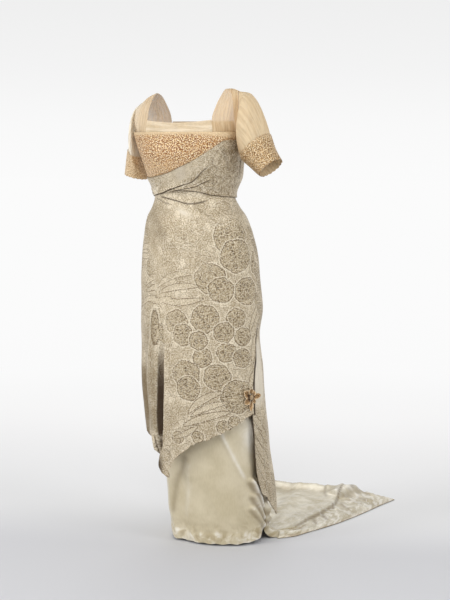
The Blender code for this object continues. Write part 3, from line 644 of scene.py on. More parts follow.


# %% [markdown]
# ## The brocade's drawing
#
# The silver brocade shows large roundels packed with small pebbles, sprays of long leaves, and small angular
# leaves between them. It is an ordinary repeat, charted one by one. A picture of it would be simplest, but a
# drawing made of distances stays sharp at any size: each point of the cloth carries how far inside a roundel
# or a leaf it lies, and the finish draws a rim where that distance passes zero.

# %% Chart of the brocade
# across, up and radius, in metres of cloth
ROUNDELS = np.array([
    (0.155, 0.948, 0.05), (0.172, 0.888, 0.048), (0.095, 0.823, 0.044), (0.126, 0.788, 0.036),
    (0.205, 0.783, 0.04), (0.078, 0.703, 0.041), (0.168, 0.705, 0.028), (-0.011, 0.69, 0.036),
    (0.011, 0.653, 0.032), (0.033, 0.968, 0.043), (-0.003, 0.943, 0.028), (0.133, 0.663, 0.029),
    (0.191, 0.648, 0.027), (0.141, 0.603, 0.028), (0.188, 0.585, 0.028), (0.059, 0.638, 0.027),
    (0.071, 0.588, 0.028), (0.02, 0.535, 0.042), (0.025, 0.493, 0.036), (0.113, 0.53, 0.038),
    (0.171, 0.47, 0.049), (0.125, 1.015, 0.032), (0.27, 0.963, 0.036), (0.266, 0.863, 0.041),
    (0.273, 0.748, 0.034), (-0.069, 0.975, 0.032), (-0.038, 0.848, 0.03), (-0.016, 0.343, 0.018),
    (0.047, 0.348, 0.018), (0.124, 0.38, 0.02), (-0.064, 0.283, 0.02), (0.155, 0.395, 0.017),
])
# across, up, half length, half width, tilt in degrees, bend
LEAVES = np.array([
    (-0.018, 0.812, 0.062, 0.01, 20, 0.016), (-0.004, 0.786, 0.07, 0.01, 10, 0.01),
    (-0.002, 0.76, 0.078, 0.01, 3, -0.01), (0.076, 0.452, 0.064, 0.011, 32, 0.012),
    (0.086, 0.432, 0.062, 0.009, 22, 0.008), (0.074, 0.402, 0.076, 0.011, 18, 0.006),
    (0.01, 0.362, 0.05, 0.008, 28, -0.005), (-0.07, 0.905, 0.05, 0.009, 8, 0.006),
    (-0.078, 0.885, 0.052, 0.009, 2, -0.004), (-0.066, 0.745, 0.045, 0.008, 24, 0.006),
    (0.236, 0.7, 0.045, 0.009, 62, 0.006), (0.238, 0.61, 0.05, 0.009, 75, 0.006),
    (0.06, 0.9, 0.04, 0.008, -20, 0.006), (0.225, 0.52, 0.04, 0.008, 66, 0.005),
])
REPEAT_ACROSS, REPEAT_UP = 0.4, 0.8


def nearest_repeat(distance, period):
    """The distance to the nearest copy of a shape that comes again after each period."""
    return distance - period * np.round(distance / period)


def layers_of_roundels():
    """Roundels that overlap go in different layers, so that each keeps its whole rim."""
    layer = []
    for k, (across, up, radius) in enumerate(ROUNDELS):
        du = nearest_repeat(ROUNDELS[:k, 0] - across, REPEAT_ACROSS)
        dv = nearest_repeat(ROUNDELS[:k, 1] - up, REPEAT_UP)
        touching = np.hypot(du, dv) < ROUNDELS[:k, 2] + radius + 0.002
        used = {layer[i] for i in np.flatnonzero(touching)}
        layer.append(min([n for n in range(3) if n not in used] or [2]))
    return np.array(layer)


LAYER = layers_of_roundels()


def roundel_field(u, v, layer, repeat):
    """How far inside the nearest roundel a point lies: its radius, waved a little, less the distance."""
    inside = np.full(np.shape(u), -1.0)
    for k in np.flatnonzero(LAYER == layer):
        across, up, radius = ROUNDELS[k]
        du, dv = u - across, v - up
        if repeat:
            du, dv = nearest_repeat(du, REPEAT_ACROSS), nearest_repeat(dv, REPEAT_UP)
        turn = np.arctan2(dv, du)
        wave = 0.03 * np.cos(5 * turn + 1.7 * k) + 0.02 * np.cos(8 * turn + 0.9 * k)
        inside = np.maximum(inside, radius * (1 + wave) - np.hypot(du, dv))
    return inside


def leaf_field(u, v, leaves, repeat=False):
    """How far inside the nearest leaf a point lies. A leaf is widest in its middle: half width times the
    root of 1 less the squared share of its length, and its middle line bends as a parabola."""
    inside = np.full(np.shape(u), -1.0)
    for across, up, half_length, half_width, tilt, bend in leaves:
        du, dv = u - across, v - up
        if repeat:
            du, dv = nearest_repeat(du, REPEAT_ACROSS), nearest_repeat(dv, REPEAT_UP)
        a = math.radians(tilt)
        x, y = du * math.cos(a) + dv * math.sin(a), dv * math.cos(a) - du * math.sin(a)
        share = np.clip(1 - (x / half_length) ** 2, 0, 1)
        past = np.maximum(np.abs(x) - half_length, 0)
        width = half_width * share**0.7
        inside = np.maximum(inside, width - np.abs(y - bend * share) - past)
    return inside


def brocade_fields(u, v, shade, faint=0.0, tone=0.0, plain=0.0, repeat=False):
    """The numbers that the brocade's finish reads: the drawing, the folds' painted shade, how faint the
    drawing is, how much lighter or darker the cloth is, painted highlights and painted shade included, and
    how plain its ground is."""
    fields = {f"roundel_{k}": roundel_field(u, v, k, repeat) for k in range(3)}
    fields["leaf"] = leaf_field(u, v, LEAVES, repeat)
    fields.update(shade=shade, faint=faint, tone=tone, plain=plain)
    return fields


print("roundels in each layer:", np.bincount(LAYER), " leaves:", len(LEAVES))

# %% [markdown]
# ## The brocade's finish
#
# Metal thread makes this cloth: it is tan and brown where the roundels are, silvery between them, and it
# glints, in a painted speckle. The finish is built up as an embroiderer works: ground, small leaves, pebbled
# roundels, cream halos and brown rims, and then painted highlights and painted shade in the folds. The same
# lines also stand up a little in the relief.


# %% Brocade finish
def make_brocade():
    """Silver-beige metal brocade."""
    f = Finish("brocade_silver_beige")
    where = f.cloth_metres()
    clear = f.sum("SUBTRACT", 1.0, f.field("faint"))
    woven = f.sum("SUBTRACT", 1.0, f.field("plain"))
    wander = f.sum("MULTIPLY_ADD", f.noise(where, 0.008, 1.0), 0.005, -0.0025)
    # ground: silver, with small angular leaves in thin brown outlines
    bent = f.warped(where, 0.016, 0.014)
    small = f.stretched(bent, 1.0, 0.66)
    pick = f.step("ShaderNodeSeparateColor", {0: f.cells(small, 0.0155, output="Color")})
    edge = f.cells(small, 0.0155, feature="DISTANCE_TO_EDGE")
    leafy = f.times(f.ramp(pick, 0.46, 0.54), f.ramp(edge, 0.04, 0.12))
    cloudy = f.noise(where, 0.05, 3.0)
    f.tint = f.blend(f.ramp(cloudy, 0.35, 0.65), (192, 176, 147), (218, 204, 178))
    f.lay(f.times(leafy, f.times(woven, 0.5)), (164, 146, 114))
    seam = f.times(f.ramp(edge, 0.02, 0.09, 1.0, 0.0), f.times(woven, 0.44))
    f.lay(seam, (122, 102, 70))
    # the roundels' filling: dark pebbles in a pale network
    pebble = f.cells(bent, 0.0092)
    web = f.cells(bent, 0.0092, feature="DISTANCE_TO_EDGE")
    swirl = f.noise(where, 0.014, 1.0, 1.2)
    fill = f.blend(f.ramp(swirl, 0.38, 0.62), (134, 115, 83), (163, 145, 112))
    fill = f.blend(f.ramp(pebble, 0.2, 0.4, 0.95, 0.0), fill, (86, 66, 35))
    fill = f.blend(f.ramp(web, 0.03, 0.14, 0.62, 0.0), fill, (212, 196, 166))
    high, filled = 0.0, 0.0
    broken = f.ramp(f.noise(where, 0.007, 1.0), 0.34, 0.54, 0.55, 1.0)
    for layer in range(3):
        roundel = f.sum("ADD", f.field(f"roundel_{layer}"), wander)
        outside = f.sum("ABSOLUTE", f.sum("ADD", roundel, 0.0036))
        f.lay(f.masked(clear, outside, 0.0006, 0.0024, 0.66), (232, 220, 196))
        inside = f.times(f.ramp(roundel, -0.0004, 0.0008), f.times(clear, 0.93))
        f.lay(inside, fill)
        filled = f.sum("MAXIMUM", filled, inside)
        within = f.sum("ABSOLUTE", f.sum("SUBTRACT", roundel, 0.003))
        f.lay(f.masked(clear, within, 0.0006, 0.0018, 0.35), (206, 190, 160))
        rim = f.masked(f.times(clear, broken), f.sum("ABSOLUTE", roundel), 0.0005, 0.0018, 1.0)
        f.lay(rim, (104, 84, 52))
        high = f.sum("MAXIMUM", high, rim)
    # long leaves: paler inside, with a brown outline
    leaf = f.sum("MULTIPLY_ADD", wander, 0.5, f.field("leaf"))
    f.lay(f.times(f.ramp(leaf, -0.0003, 0.0008), f.times(clear, 0.6)), (208, 193, 165))
    outline = f.masked(f.times(clear, broken), f.sum("ABSOLUTE", leaf), 0.0005, 0.0018, 1.0)
    f.lay(outline, (104, 84, 52))
    # metal thread: a fine speckle of glints and gaps
    speckle = f.noise(where, 0.0036, 1.0)
    fine = f.sum("MULTIPLY_ADD", woven, 0.34, 0.12)
    f.lay(f.times(f.ramp(speckle, 0.5, 0.64), fine), (244, 236, 217))
    f.lay(f.times(f.ramp(speckle, 0.48, 0.36), fine), (112, 92, 62))
    f.lay(f.ramp(woven, 0.5, 0.0, 0.0, 0.6), (192, 182, 165))
    # tone lays painted highlights and painted shade, as well as the cloth's own lighter and darker parts
    tone = f.field("tone")
    f.lay(f.ramp(tone, 0.0, 1.0), (240, 233, 218))
    f.lay(f.ramp(tone, 0.0, -1.0), (98, 74, 26))
    shade = f.field("shade")
    f.lay(f.ramp(shade, 0.0, 1.0, 0.0, 0.96), (56, 36, 12))
    network = f.times(f.ramp(web, 0.03, 0.2, 0.7, 0.0), filled)
    high = f.sum("MAXIMUM", f.sum("MAXIMUM", high, network), outline)
    high = f.times(f.sum("MULTIPLY_ADD", speckle, 0.5, high), woven)
    threads = f.threads(where, 330.0, 0.6)
    normal = f.relief(threads, 0.00006, below=f.relief(high, 0.00036))
    rough = f.sum("MAXIMUM", f.ramp(speckle, 0.35, 0.65, 0.56, 0.36), f.ramp(shade, 0.2, 0.8, 0.0, 0.85))
    return f.put(base_color=f.tint, roughness=rough, metallic=0.22, normal=normal)


BROCADE = make_brocade()
print("brocade nodes:", len(BROCADE.node_tree.nodes))

# %% [markdown]
# ## The lace's finish
#
# The gold lace is a dense curling braid on peach net. Lines that follow the level curves of a noise curl and
# close on themselves in just that way. Two such sets of lines, a cream one over a brown one, read as braid
# with shadow behind it.


# %% Lace finish
def make_lace(name, deep, middle, pale, open_share):
    """Gold metal lace: its dark gaps, its middle tone and its pale braid. open_share lets light through."""
    f = Finish(name)
    where = f.cloth_metres()
    bent = f.warped(where, 0.01, 0.006)
    curl = f.noise(bent, 0.0044, 0.5)
    blush = f.noise(where, 0.04, 2.0)
    f.tint = f.blend(f.ramp(curl, 0.43, 0.5), deep, middle)
    f.lay(f.ramp(curl, 0.5, 0.6), pale)
    f.lay(f.ramp(blush, 0.4, 0.64, 0.0, 0.4), middle)
    glint = f.noise(where, 0.0031, 0.5)
    f.lay(f.ramp(glint, 0.56, 0.65, 0.0, 0.9), (252, 236, 206))
    f.lay(f.ramp(glint, 0.44, 0.35, 0.0, 0.95), deep)
    # the net veil's paler colour, which also lays painted light on the right cuff
    f.lay(f.field("veil_and_painted_light"), (224, 198, 158))
    f.lay(f.ramp(f.field("shade"), 0.0, 1.0, 0.0, 0.95), (80, 44, 18))
    high = f.sum("MULTIPLY_ADD", glint, 0.6, f.ramp(curl, 0.42, 0.6))
    through = f.ramp(curl, 0.34, 0.44, 1.0 - open_share, 1.0)
    normal = f.relief(high, 0.0009)
    return f.put(base_color=f.tint, roughness=0.44, metallic=0.22, normal=normal, alpha=through)


LACE_BIB = make_lace("lace_gold_bib", (134, 84, 40), (198, 150, 96), (232, 202, 152), 0.0)
LACE_CUFF = make_lace("lace_gold_cuff", (144, 104, 56), (196, 158, 106), (232, 204, 156), 0.25)
# a paler copy of the cuff's lace for the right cuff: painted light
LACE_PAINTED_LIT = make_lace("lace_gold_painted_lit", (168, 124, 74), (226, 190, 142), (250, 230, 190), 0.15)
print("lace finishes: 3")

# %% [markdown]
# ## Net, chiffon, satin and gilt
#
# Net and chiffon let light through, so they are partly clear, and their gathers show as streaks. Satin is
# smooth: its sheen comes from a low roughness and a little sheen, and from painted sheen and painted
# highlights in its colour, and its life comes from the folds. The rosette's ribbon is woven with gilt thread.


# %% Net finish
def make_net(name, pale, deep, solid, across, up):
    """Fine silk net in soft gathers. solid is how much each face of it stops the view."""
    f = Finish(name)
    where = f.cloth_metres()
    streak = f.noise(f.stretched(f.warped(where, 0.05, 0.012), across, up), 0.009, 3.0)
    cloud = f.noise(where, 0.025, 2.0)
    f.tint = f.blend(f.ramp(streak, 0.3, 0.7), deep, pale)
    f.lay(f.ramp(cloud, 0.35, 0.7, 0.0, 0.35), deep)
    shade = f.field("shade")
    f.lay(f.ramp(shade, 0.0, 1.0, 0.0, 0.9), (140, 104, 62))
    thinner = f.ramp(cloud, 0.3, 0.7, -0.09, 0.07)
    through = f.sum("ADD", f.ramp(streak, 0.3, 0.7, solid - 0.1, solid + 0.08), thinner)
    through = f.sum("MULTIPLY_ADD", shade, 0.5, through)
    threads = f.cells(where, 0.0016, feature="DISTANCE_TO_EDGE")
    normal = f.relief(threads, 0.0001, below=f.relief(streak, 0.0004))
    return f.put(base_color=f.tint, roughness=0.8, alpha=f.sum("MINIMUM", through, 1.0), normal=normal)


# the right sleeve's net: a paler, more solid copy of the net, painted light
NET_PAINTED_LIT = make_net("net_cream_painted_lit", (254, 248, 234), (249, 236, 212), 0.8, 1.0, 0.15)
NET_LEFT = make_net("net_peach_cream", (236, 216, 180), (229, 204, 164), 0.7, 1.0, 0.15)
NET_EDGE = make_net("net_neck", (242, 226, 200), (222, 200, 164), 0.84, 0.1, 1.0)
print("net finishes: 3")


# %% Chiffon finish
def make_chiffon():
    """Peach silk chiffon with its soft gathers running along the band."""
    f = Finish("chiffon_peach")
    where = f.cloth_metres()
    streak = f.noise(f.stretched(f.warped(where, 0.05, 0.008), 1.0, 0.07), 0.006, 3.0)
    cloud = f.noise(where, 0.02, 2.0)
    f.tint = f.blend(f.ramp(streak, 0.3, 0.7), (214, 182, 138), (238, 214, 174))
    f.lay(f.ramp(cloud, 0.4, 0.7, 0.0, 0.4), (224, 190, 146))
    f.lay(f.field("tone"), (252, 240, 218))
    f.lay(f.ramp(f.field("shade"), 0.0, 1.0, 0.0, 0.85), (150, 108, 64))
    through = f.ramp(streak, 0.3, 0.7, 0.52, 0.7)
    return f.put(base_color=f.tint, roughness=0.7, alpha=through, normal=f.relief(streak, 0.0004))


CHIFFON = make_chiffon()
print("chiffon nodes:", len(CHIFFON.node_tree.nodes))


# %% Satin finish
def make_satin(name, pale, deep, rough, creased):
    """Cream silk satin: smooth, with faint clouds, a diagonal weave and its sheen, and with painted sheen,
    painted highlights and painted shade in its colour. creased is the depth in metres of its fine crumples."""
    f = Finish(name)
    where = f.cloth_metres()
    cloud = f.noise(where, 0.09, 3.0, 0.3)
    crumple_and_sheen = f.field("crumple_and_sheen")
    crease = f.times(f.noise(f.stretched(where, 1.0, 0.45), 0.03, 3.0, 0.8), f.sum("ADD", crumple_and_sheen, 0.25))
    # painted sheen: lighter and darker patches where the satin is crumpled
    painted_sheen = f.times(crumple_and_sheen, f.ramp(f.noise(where, 0.026, 2.0, 0.6), 0.38, 0.62, -0.46, 0.46))
    f.tint = f.blend(f.ramp(cloud, 0.35, 0.65), deep, pale)
    grain = f.noise(f.stretched(where, 1.0, 0.25), 0.004, 2.0)
    f.lay(f.ramp(grain, 0.3, 0.7, 0.0, 0.1), (246, 238, 218))
    # tone carries painted highlights and painted shade
    tone = f.sum("ADD", f.field("tone"), painted_sheen)
    f.lay(f.ramp(tone, 0.0, 1.0), (250, 246, 236))
    f.lay(f.ramp(tone, 0.0, -1.0), (150, 128, 86))
    f.lay(f.ramp(f.field("shade"), 0.0, 1.0, 0.0, 0.9), (98, 74, 36))
    twill = f.threads(where, 420.0, 0.3)
    normal = f.relief(crease, creased)
    normal = f.relief(twill, 0.00004, below=normal)
    f.shader.inputs["Sheen Weight"].default_value = 0.15
    f.shader.inputs["Sheen Roughness"].default_value = 0.4
    return f.put(base_color=f.tint, roughness=rough, metallic=0.1, normal=normal)


SATIN_FRONT = make_satin("satin_cream_front", (215, 203, 174), (200, 187, 155), 0.36, 0.003)
SATIN_TRAIN = make_satin("satin_cream_train", (220, 212, 190), (186, 174, 143), 0.24, 0.004)
print("satin finishes: 2")


# %% Gilt finish
def make_gilt():
    """Ribbon of gilt and brown thread, with painted highlights along its raised edges and painted shade where
    the mesh carries it.
    """
    f = Finish("gilt_ribbon")
    where = f.cloth_metres()
    thread = f.threads(where, 260.0, 1.5)
    blotch = f.noise(where, 0.005, 2.0)
    f.tint = f.blend(f.ramp(blotch, 0.38, 0.62), (104, 66, 30), (206, 166, 112))
    f.lay(f.times(thread, 0.25), (226, 198, 156))
    # tone lays painted highlights
    f.lay(f.field("tone"), (252, 232, 198))
    f.lay(f.ramp(f.field("shade"), 0.0, 1.0), (62, 34, 12))
    return f.put(base_color=f.tint, roughness=0.45, metallic=0.25, normal=f.relief(thread, 0.0003))


GILT = make_gilt()
print("gilt nodes:", len(GILT.node_tree.nodes))

# %% [markdown]
# ## The lace bodice
#
# The bodice is one piece of lace in front and one behind, from the waist up to the seam below the neckline.
# Each could be cut flat and draped, but it lies close to the form, so its grid is the form itself: angles
# across, heights up, and curved sides where the armholes are cut out.

# %% Bodice lace
WAIST_SEAM = 1.06
UNDERARM = 1.186
YOKE_FRONT, YOKE_BACK = 1.2515, 1.258
YOKE_CORNER = 78.0
SEAM = 0.0004
LACE = 0.0012
NET = 0.001
SIDE_RADIUS = 0.15
SEAM_ANGLE = math.degrees(SEAM / 2 / SIDE_RADIUS)


def armhole_angle(height, yoke):
    """The armhole's edge as an angle: 90 at the underarm, and 78 at the yoke, by a power of the height."""
    share = np.clip((height - UNDERARM) / (yoke - UNDERARM), 0, 1)
    return 90 - (90 - YOKE_CORNER) * share**1.4


def build_bodice_lace(name, middle, yoke, columns, rows, node):
    """One lace piece: angle = middle + share of the armhole's angle, height = an even step. Net and chiffon
    veil its top, further down at the wearer's left. Lower down the lace is made lighter towards the waist."""
    height = np.linspace(WAIST_SEAM + SEAM / 2, yoke - SEAM / 2, rows)[:, None] * np.ones((1, columns))
    share = np.linspace(-1, 1, columns)[None, :]
    angle = middle + share * (armhole_angle(height, yoke) - SEAM_ANGLE)
    soft = rumple(plan(angle), height, 0.05, 0.0005)
    points = on_form(BODY, angle, height, LACE + soft * ease(np.abs(share), 1, 0.9))
    edge = armhole_angle(height, yoke) - np.abs(angle - middle)
    drop = 0.01 + 0.014 * ease(share, 0.25, 0.8) * (middle == 0.0)
    # the net veil at the top, and the lace made lighter towards the waist
    veil_and_painted_light = 0.28 * ease(height, 1.2, 1.12) + 0.8 * ease(height, yoke - drop, yoke - 0.3 * drop)
    veil_and_painted_light = veil_and_painted_light + 0.15 * ease(height, yoke - 2 * drop, yoke - drop)
    shade = 0.9 * bell(edge, 1.5) * ease(height, 1.15, 1.19)
    uv = (tape("body", angle, height), height)
    return cloth(name, points, 0.0009, LACE_BIB, uv, node, {"veil_and_painted_light": veil_and_painted_light, "shade": shade})


bodice_front = build_bodice_lace("bodice_front_cloth", 0.0, YOKE_FRONT, 140, 64, "bodice_front_lace")
bodice_back = build_bodice_lace("bodice_back_cloth", 180.0, YOKE_BACK, 110, 50, "bodice_back_lace")

# %% [markdown]
# ## The net along the neckline
#
# A strip of net is gathered over the top of the lace and makes the straight edge of the square neckline. Its
# many small gathers run up and down, and two soft creases run along it.

# %% Neck edging
NECK_CORNERS = (-32.0, 40.5)
NECKLINE = 1.286
NECKLINE_DIP = 0.008


def build_neck_edging(name, corners, yoke, dip, node):
    """Net between the two shoulder bands: creases along it, faint upright gathers, and a rolled top."""
    columns, rows = 130, 26
    middle, half = (corners[0] + corners[1]) / 2, (corners[1] - corners[0]) / 2
    share = np.linspace(-1, 1, columns)[None, :] * np.ones((rows, 1))
    corner = half - math.degrees(SEAM / 2 / 0.11) * 2
    top = NECKLINE - dip * np.cos(share * math.pi / 2)
    up = np.linspace(0, 1, rows)[:, None]
    low = yoke + SEAM / 2
    height = low + (top - low) * up
    angle = middle + share * corner
    u = tape("body", angle, height)
    free = ease(np.abs(share), 1, 0.93) * ease(up, 0, 0.12)
    gathers = 0.0002 * np.sin(u * FULL_TURN / 0.009 + 2.0 * np.sin(u * 60))
    sag = 0.06 * np.sin(share * 2.6 + 0.8)
    creases = 0.0012 * (bell(up - 0.36 - sag, 0.1) + bell(up - 0.7 - 0.5 * sag, 0.08))
    roll = 0.0014 * bell(up - 1.0, 0.1)
    points = on_form(BODY, angle, height, NET + (gathers + creases + roll) * free)
    shade = 0.4 * (bell(up - 0.24 - sag, 0.05) + bell(up - 0.58 - 0.5 * sag, 0.04))
    shade = shade + 0.25 * bell(up - 0.94, 0.03)
    return cloth(name, points, 0.0007, NET_EDGE, (u, height), node, {"shade": shade})


BACK_CORNERS = (180 - NECK_CORNERS[1], 180 - NECK_CORNERS[0])
edging_front = build_neck_edging(
    "neck_edging_front_cloth", NECK_CORNERS, YOKE_FRONT, NECKLINE_DIP, "neck_edging_front"
)
edging_back = build_neck_edging("neck_edging_back_cloth", BACK_CORNERS, YOKE_BACK, 0.0, "neck_edging_back")

# %% [markdown]
# ## The shoulder bands
#
# Each band is a length of peach chiffon laid in pleats from the front seam over the shoulder to the back
# seam. It is made as a strip between two curves in space, its neck edge and its armhole edge, with the pleats
# as rounded ribs along it.

# %% Shoulder bands
# neck edge x, y, height, then armhole edge x, y, height
BAND = np.array([
    (0.11, -0.103, 1.29, 0.177, -0.05, 1.284), (0.113, -0.088, 1.325, 0.177, -0.049, 1.315),
    (0.116, -0.062, 1.355, 0.173, -0.042, 1.343), (0.117, -0.032, 1.3755, 0.168, -0.027, 1.3605),
    (0.117, -0.004, 1.369, 0.168, -0.008, 1.354), (0.114, 0.022, 1.343, 0.172, 0.008, 1.332),
    (0.11, 0.044, 1.305, 0.176, 0.018, 1.296),
])
# how far each band's neck edge is drawn outwards, at the seams and at the shoulder
BAND_SHIFT = {1: (0.003, 0.012), -1: (-0.013, -0.016)}
# how far the armhole edge at the shoulder is drawn inwards and down
SHOULDER_DROP = {1: (0.0, 0.004), -1: (0.014, 0.01)}
# how far the neck edge at the shoulder is let down
NECK_DROP = {1: 0.009, -1: 0.0}


def band_edges(stations, side=1):
    """One band's two edges, each a smooth curve through its row of points and its two yoke corners. Both are
    given as if the band were the left one."""
    corners = np.array([abs(NECK_CORNERS[side > 0]), YOKE_CORNER])
    front = on_form(BODY, corners, YOKE_FRONT + SEAM / 2)
    back = on_form(BODY, 180 - corners, YOKE_BACK + SEAM / 2)
    low, high = BAND_SHIFT[side]
    edges = []
    for column, first in enumerate((0, 3)):
        row = BAND[:, first : first + 3].copy()
        crown = np.sin(np.linspace(0.15, 0.85, len(row)) * math.pi)
        if first == 0:
            row[:, 0] += low + (high - low) * crown
            row[:, 2] -= NECK_DROP[side] * crown**3
        else:
            row[:, 0] -= SHOULDER_DROP[side][0] * crown**2
            row[:, 2] -= SHOULDER_DROP[side][1] * crown**2
        edges.append(drawn(np.concatenate([front[column][None], row, back[column][None]]), stations))
    return edges


def build_band(name, side, node):
    """Chiffon in seven lengthwise pleats: the strip's points, raised by a low crown and by the pleats."""
    stations, columns, pleats = 76, 64, 7
    neck, arm = band_edges(stations, side)
    share = np.linspace(0, 1, columns)
    points = (neck[None] + (arm - neck)[None] * share[:, None, None]).transpose(1, 0, 2)
    up = grid_normals(points)
    up *= np.sign(up[stations // 2, columns // 2, 2])
    up[[0, -1], :, 2] = 0
    up[:, -1, 0] = 0
    up /= np.linalg.norm(up, axis=-1, keepdims=True)
    way = np.linspace(0, 1, stations)[:, None]
    ends = np.sin(math.pi * way) ** 0.5
    wander = 0.1 * np.sin(5.0 * way + 9.0 * share) * np.sin(math.pi * way)
    rib = np.abs(np.sin(math.pi * pleats * (share + wander * 0.35)))
    crown = 0.004 * np.sin(math.pi * share)
    lift = (crown + NET + 0.0006 * rib) * ends + NET * (1 - ends)
    outer = points + up * lift[..., None]
    outer[..., 0] *= side
    run = run_along((neck + arm) / 2)
    u = share[None] * 0.075
    shade = 0.14 * (1 - rib) ** 3 * ends + 0.35 * ease(share[None], 0.6, 1) * bell(way, 0.16)
    tone = 0.0
    if side < 0:
        tone = 0.25 + 0.55 * ease(share[None, ::-1], 0.35, 0.95)
        outer, u, shade = outer[:, ::-1], u[:, ::-1], shade[:, ::-1]
    fields = {"shade": shade, "tone": tone}
    return cloth(name, outer, 0.0008, CHIFFON, (u, run[:, None]), node, fields)


band_left = build_band("shoulder_band_left_cloth", 1, "shoulder_band_left")
band_right = build_band("shoulder_band_right_cloth", -1, "shoulder_band_right")

# %% [markdown]
# ## The sleeves and their cuffs
#
# A net sleeve is a tube from the armhole to above the elbow. The tube's rings are given by the highest and
# lowest point of each, and its first ring is the armhole itself. Small gathers spread from the shoulder. The
# gold lace cuff is a second, shorter tube just outside the first, with a gently waved edge.

# %% Sleeve rings
# top x, top height, underside x, underside height, middle y, half depth
LEFT_SLEEVE = np.array([
    (0.194, 1.351, 0.179, 1.172, -0.024, 0.06), (0.219, 1.333, 0.19, 1.16, -0.026, 0.062),
    (0.241, 1.298, 0.203, 1.149, -0.025, 0.06), (0.255, 1.252, 0.214, 1.139, -0.024, 0.056),
    (0.267, 1.209, 0.224, 1.13, -0.022, 0.053), (0.287, 1.171, 0.233, 1.123, -0.02, 0.05),
])
RIGHT_SLEEVE = np.array([
    (0.168, 1.342, 0.178, 1.17, -0.02, 0.05), (0.176, 1.318, 0.18, 1.157, -0.02, 0.052),
    (0.186, 1.284, 0.18, 1.146, -0.016, 0.052), (0.199, 1.236, 0.178, 1.134, -0.006, 0.05),
    (0.219, 1.186, 0.177, 1.122, 0.004, 0.046), (0.238, 1.127, 0.177, 1.11, 0.012, 0.042),
])
CUFF_LENGTH = 0.08
# y and height of the armhole's middle
ARMHOLE_MIDDLE = (-0.016, 1.27)


def armhole(turn, side):
    """Points round an armhole, as if it were the left one. Turn 0 is the shoulder, 90 the front, 180 the
    underarm."""
    _, arm = band_edges(31, side)
    heights = np.linspace(UNDERARM, YOKE_FRONT, 9)
    front = on_form(BODY, armhole_angle(heights, YOKE_FRONT), heights)
    heights = np.linspace(UNDERARM, YOKE_BACK, 9)
    back = on_form(BODY, 180 - armhole_angle(heights, YOKE_BACK), heights)
    known = np.concatenate([arm, back[::-1], front])
    seen = np.arctan2(ARMHOLE_MIDDLE[0] - known[:, 1], known[:, 2] - ARMHOLE_MIDDLE[1])
    order = np.argsort(seen)
    wanted = (np.radians(turn) + math.pi) % (2 * math.pi) - math.pi
    found = [np.interp(wanted, seen[order], known[order, axis], period=2 * math.pi) for axis in range(3)]
    return np.stack(found, -1)


def sleeve_surface(table, rows, columns, side):
    """The sleeve's inner surface: each column is a smooth curve through the rings at its turn."""
    turn = np.linspace(0, 360, columns + 1)[:-1]
    cosine, sine = np.cos(np.radians(turn)), np.sin(np.radians(turn))
    first = armhole(turn, side)
    first[:, 0] += LACE + 2 * SEAM + NET * (1 - cosine) / 2
    rings = [first]
    for top_x, top_h, under_x, under_h, middle_y, half_y in table:
        x = (top_x + under_x) / 2 + (top_x - under_x) / 2 * cosine
        h = (top_h + under_h) / 2 + (top_h - under_h) / 2 * cosine
        rings.append(np.stack([x, middle_y - half_y * sine, h], 1))
    known = np.stack(rings).reshape(len(rings), -1)
    at = np.linspace(0, 1, len(rings))
    wanted = np.linspace(0, 1, rows)
    flat = np.stack([smooth(at, known[:, k], wanted) for k in range(known.shape[1])], 1)
    return flat.reshape(rows, columns, 3)


print("rings in a sleeve:", len(LEFT_SLEEVE) + 1)


# %% Sleeves
def build_sleeve(side_name, side, table, net_finish, lace_finish):
    """The net sleeve with its gathers, and the lace cuff on its lower part."""
    rows, columns = 64, 120
    surface = sleeve_surface(table, rows, columns, side)
    out = -grid_normals(surface, round_it=True)
    middle = surface.mean(1, keepdims=True)
    out *= np.sign((out * (surface - middle)).sum(-1).mean())
    turn = np.linspace(0, 2 * math.pi, columns + 1)[:-1][None, :]
    down = np.linspace(0, 1, rows)[:, None]
    step = np.linalg.norm(np.diff(surface, axis=0), axis=-1)
    to_mouth = np.concatenate([np.cumsum(step[::-1], axis=0)[::-1], np.zeros((1, columns))])
    puff = (1 - down) * ease(down, 0, 0.08) * ease(to_mouth, CUFF_LENGTH, CUFF_LENGTH + 0.02)
    gather = np.sin(19 * turn + 1.8 * np.sin(3 * turn + 4 * down)) + 0.6 * np.sin(31 * turn + 2.0)
    gather = 0.0004 * np.maximum(gather, -0.2) * puff * (0.6 + 0.4 * np.cos(turn))
    run = np.concatenate([[0], np.cumsum(step.mean(1))])
    uv = (np.linspace(0, 1, columns + 1)[None, :] * 0.42, -run[:, None])
    net = surface + out * (NET + gather)[..., None]
    under = bell(turn - math.radians(140), 0.75) * ease(down, 0.8, 0.05)
    shade = 0.05 * bell(down, 0.05) + 0.8 * (side > 0) * under
    shade = shade + (side > 0) * bell(down, 0.06) * bell(turn - math.radians(120), 0.65)
    net[..., 0] *= side
    node = f"sleeve_{side_name}"
    sleeve = cloth(node + "_cloth", net, 0.0006, net_finish, uv, node, {"shade": shade}, round_it=True)
    return sleeve, build_cuff(side_name, side, surface, out, to_mouth, lace_finish)


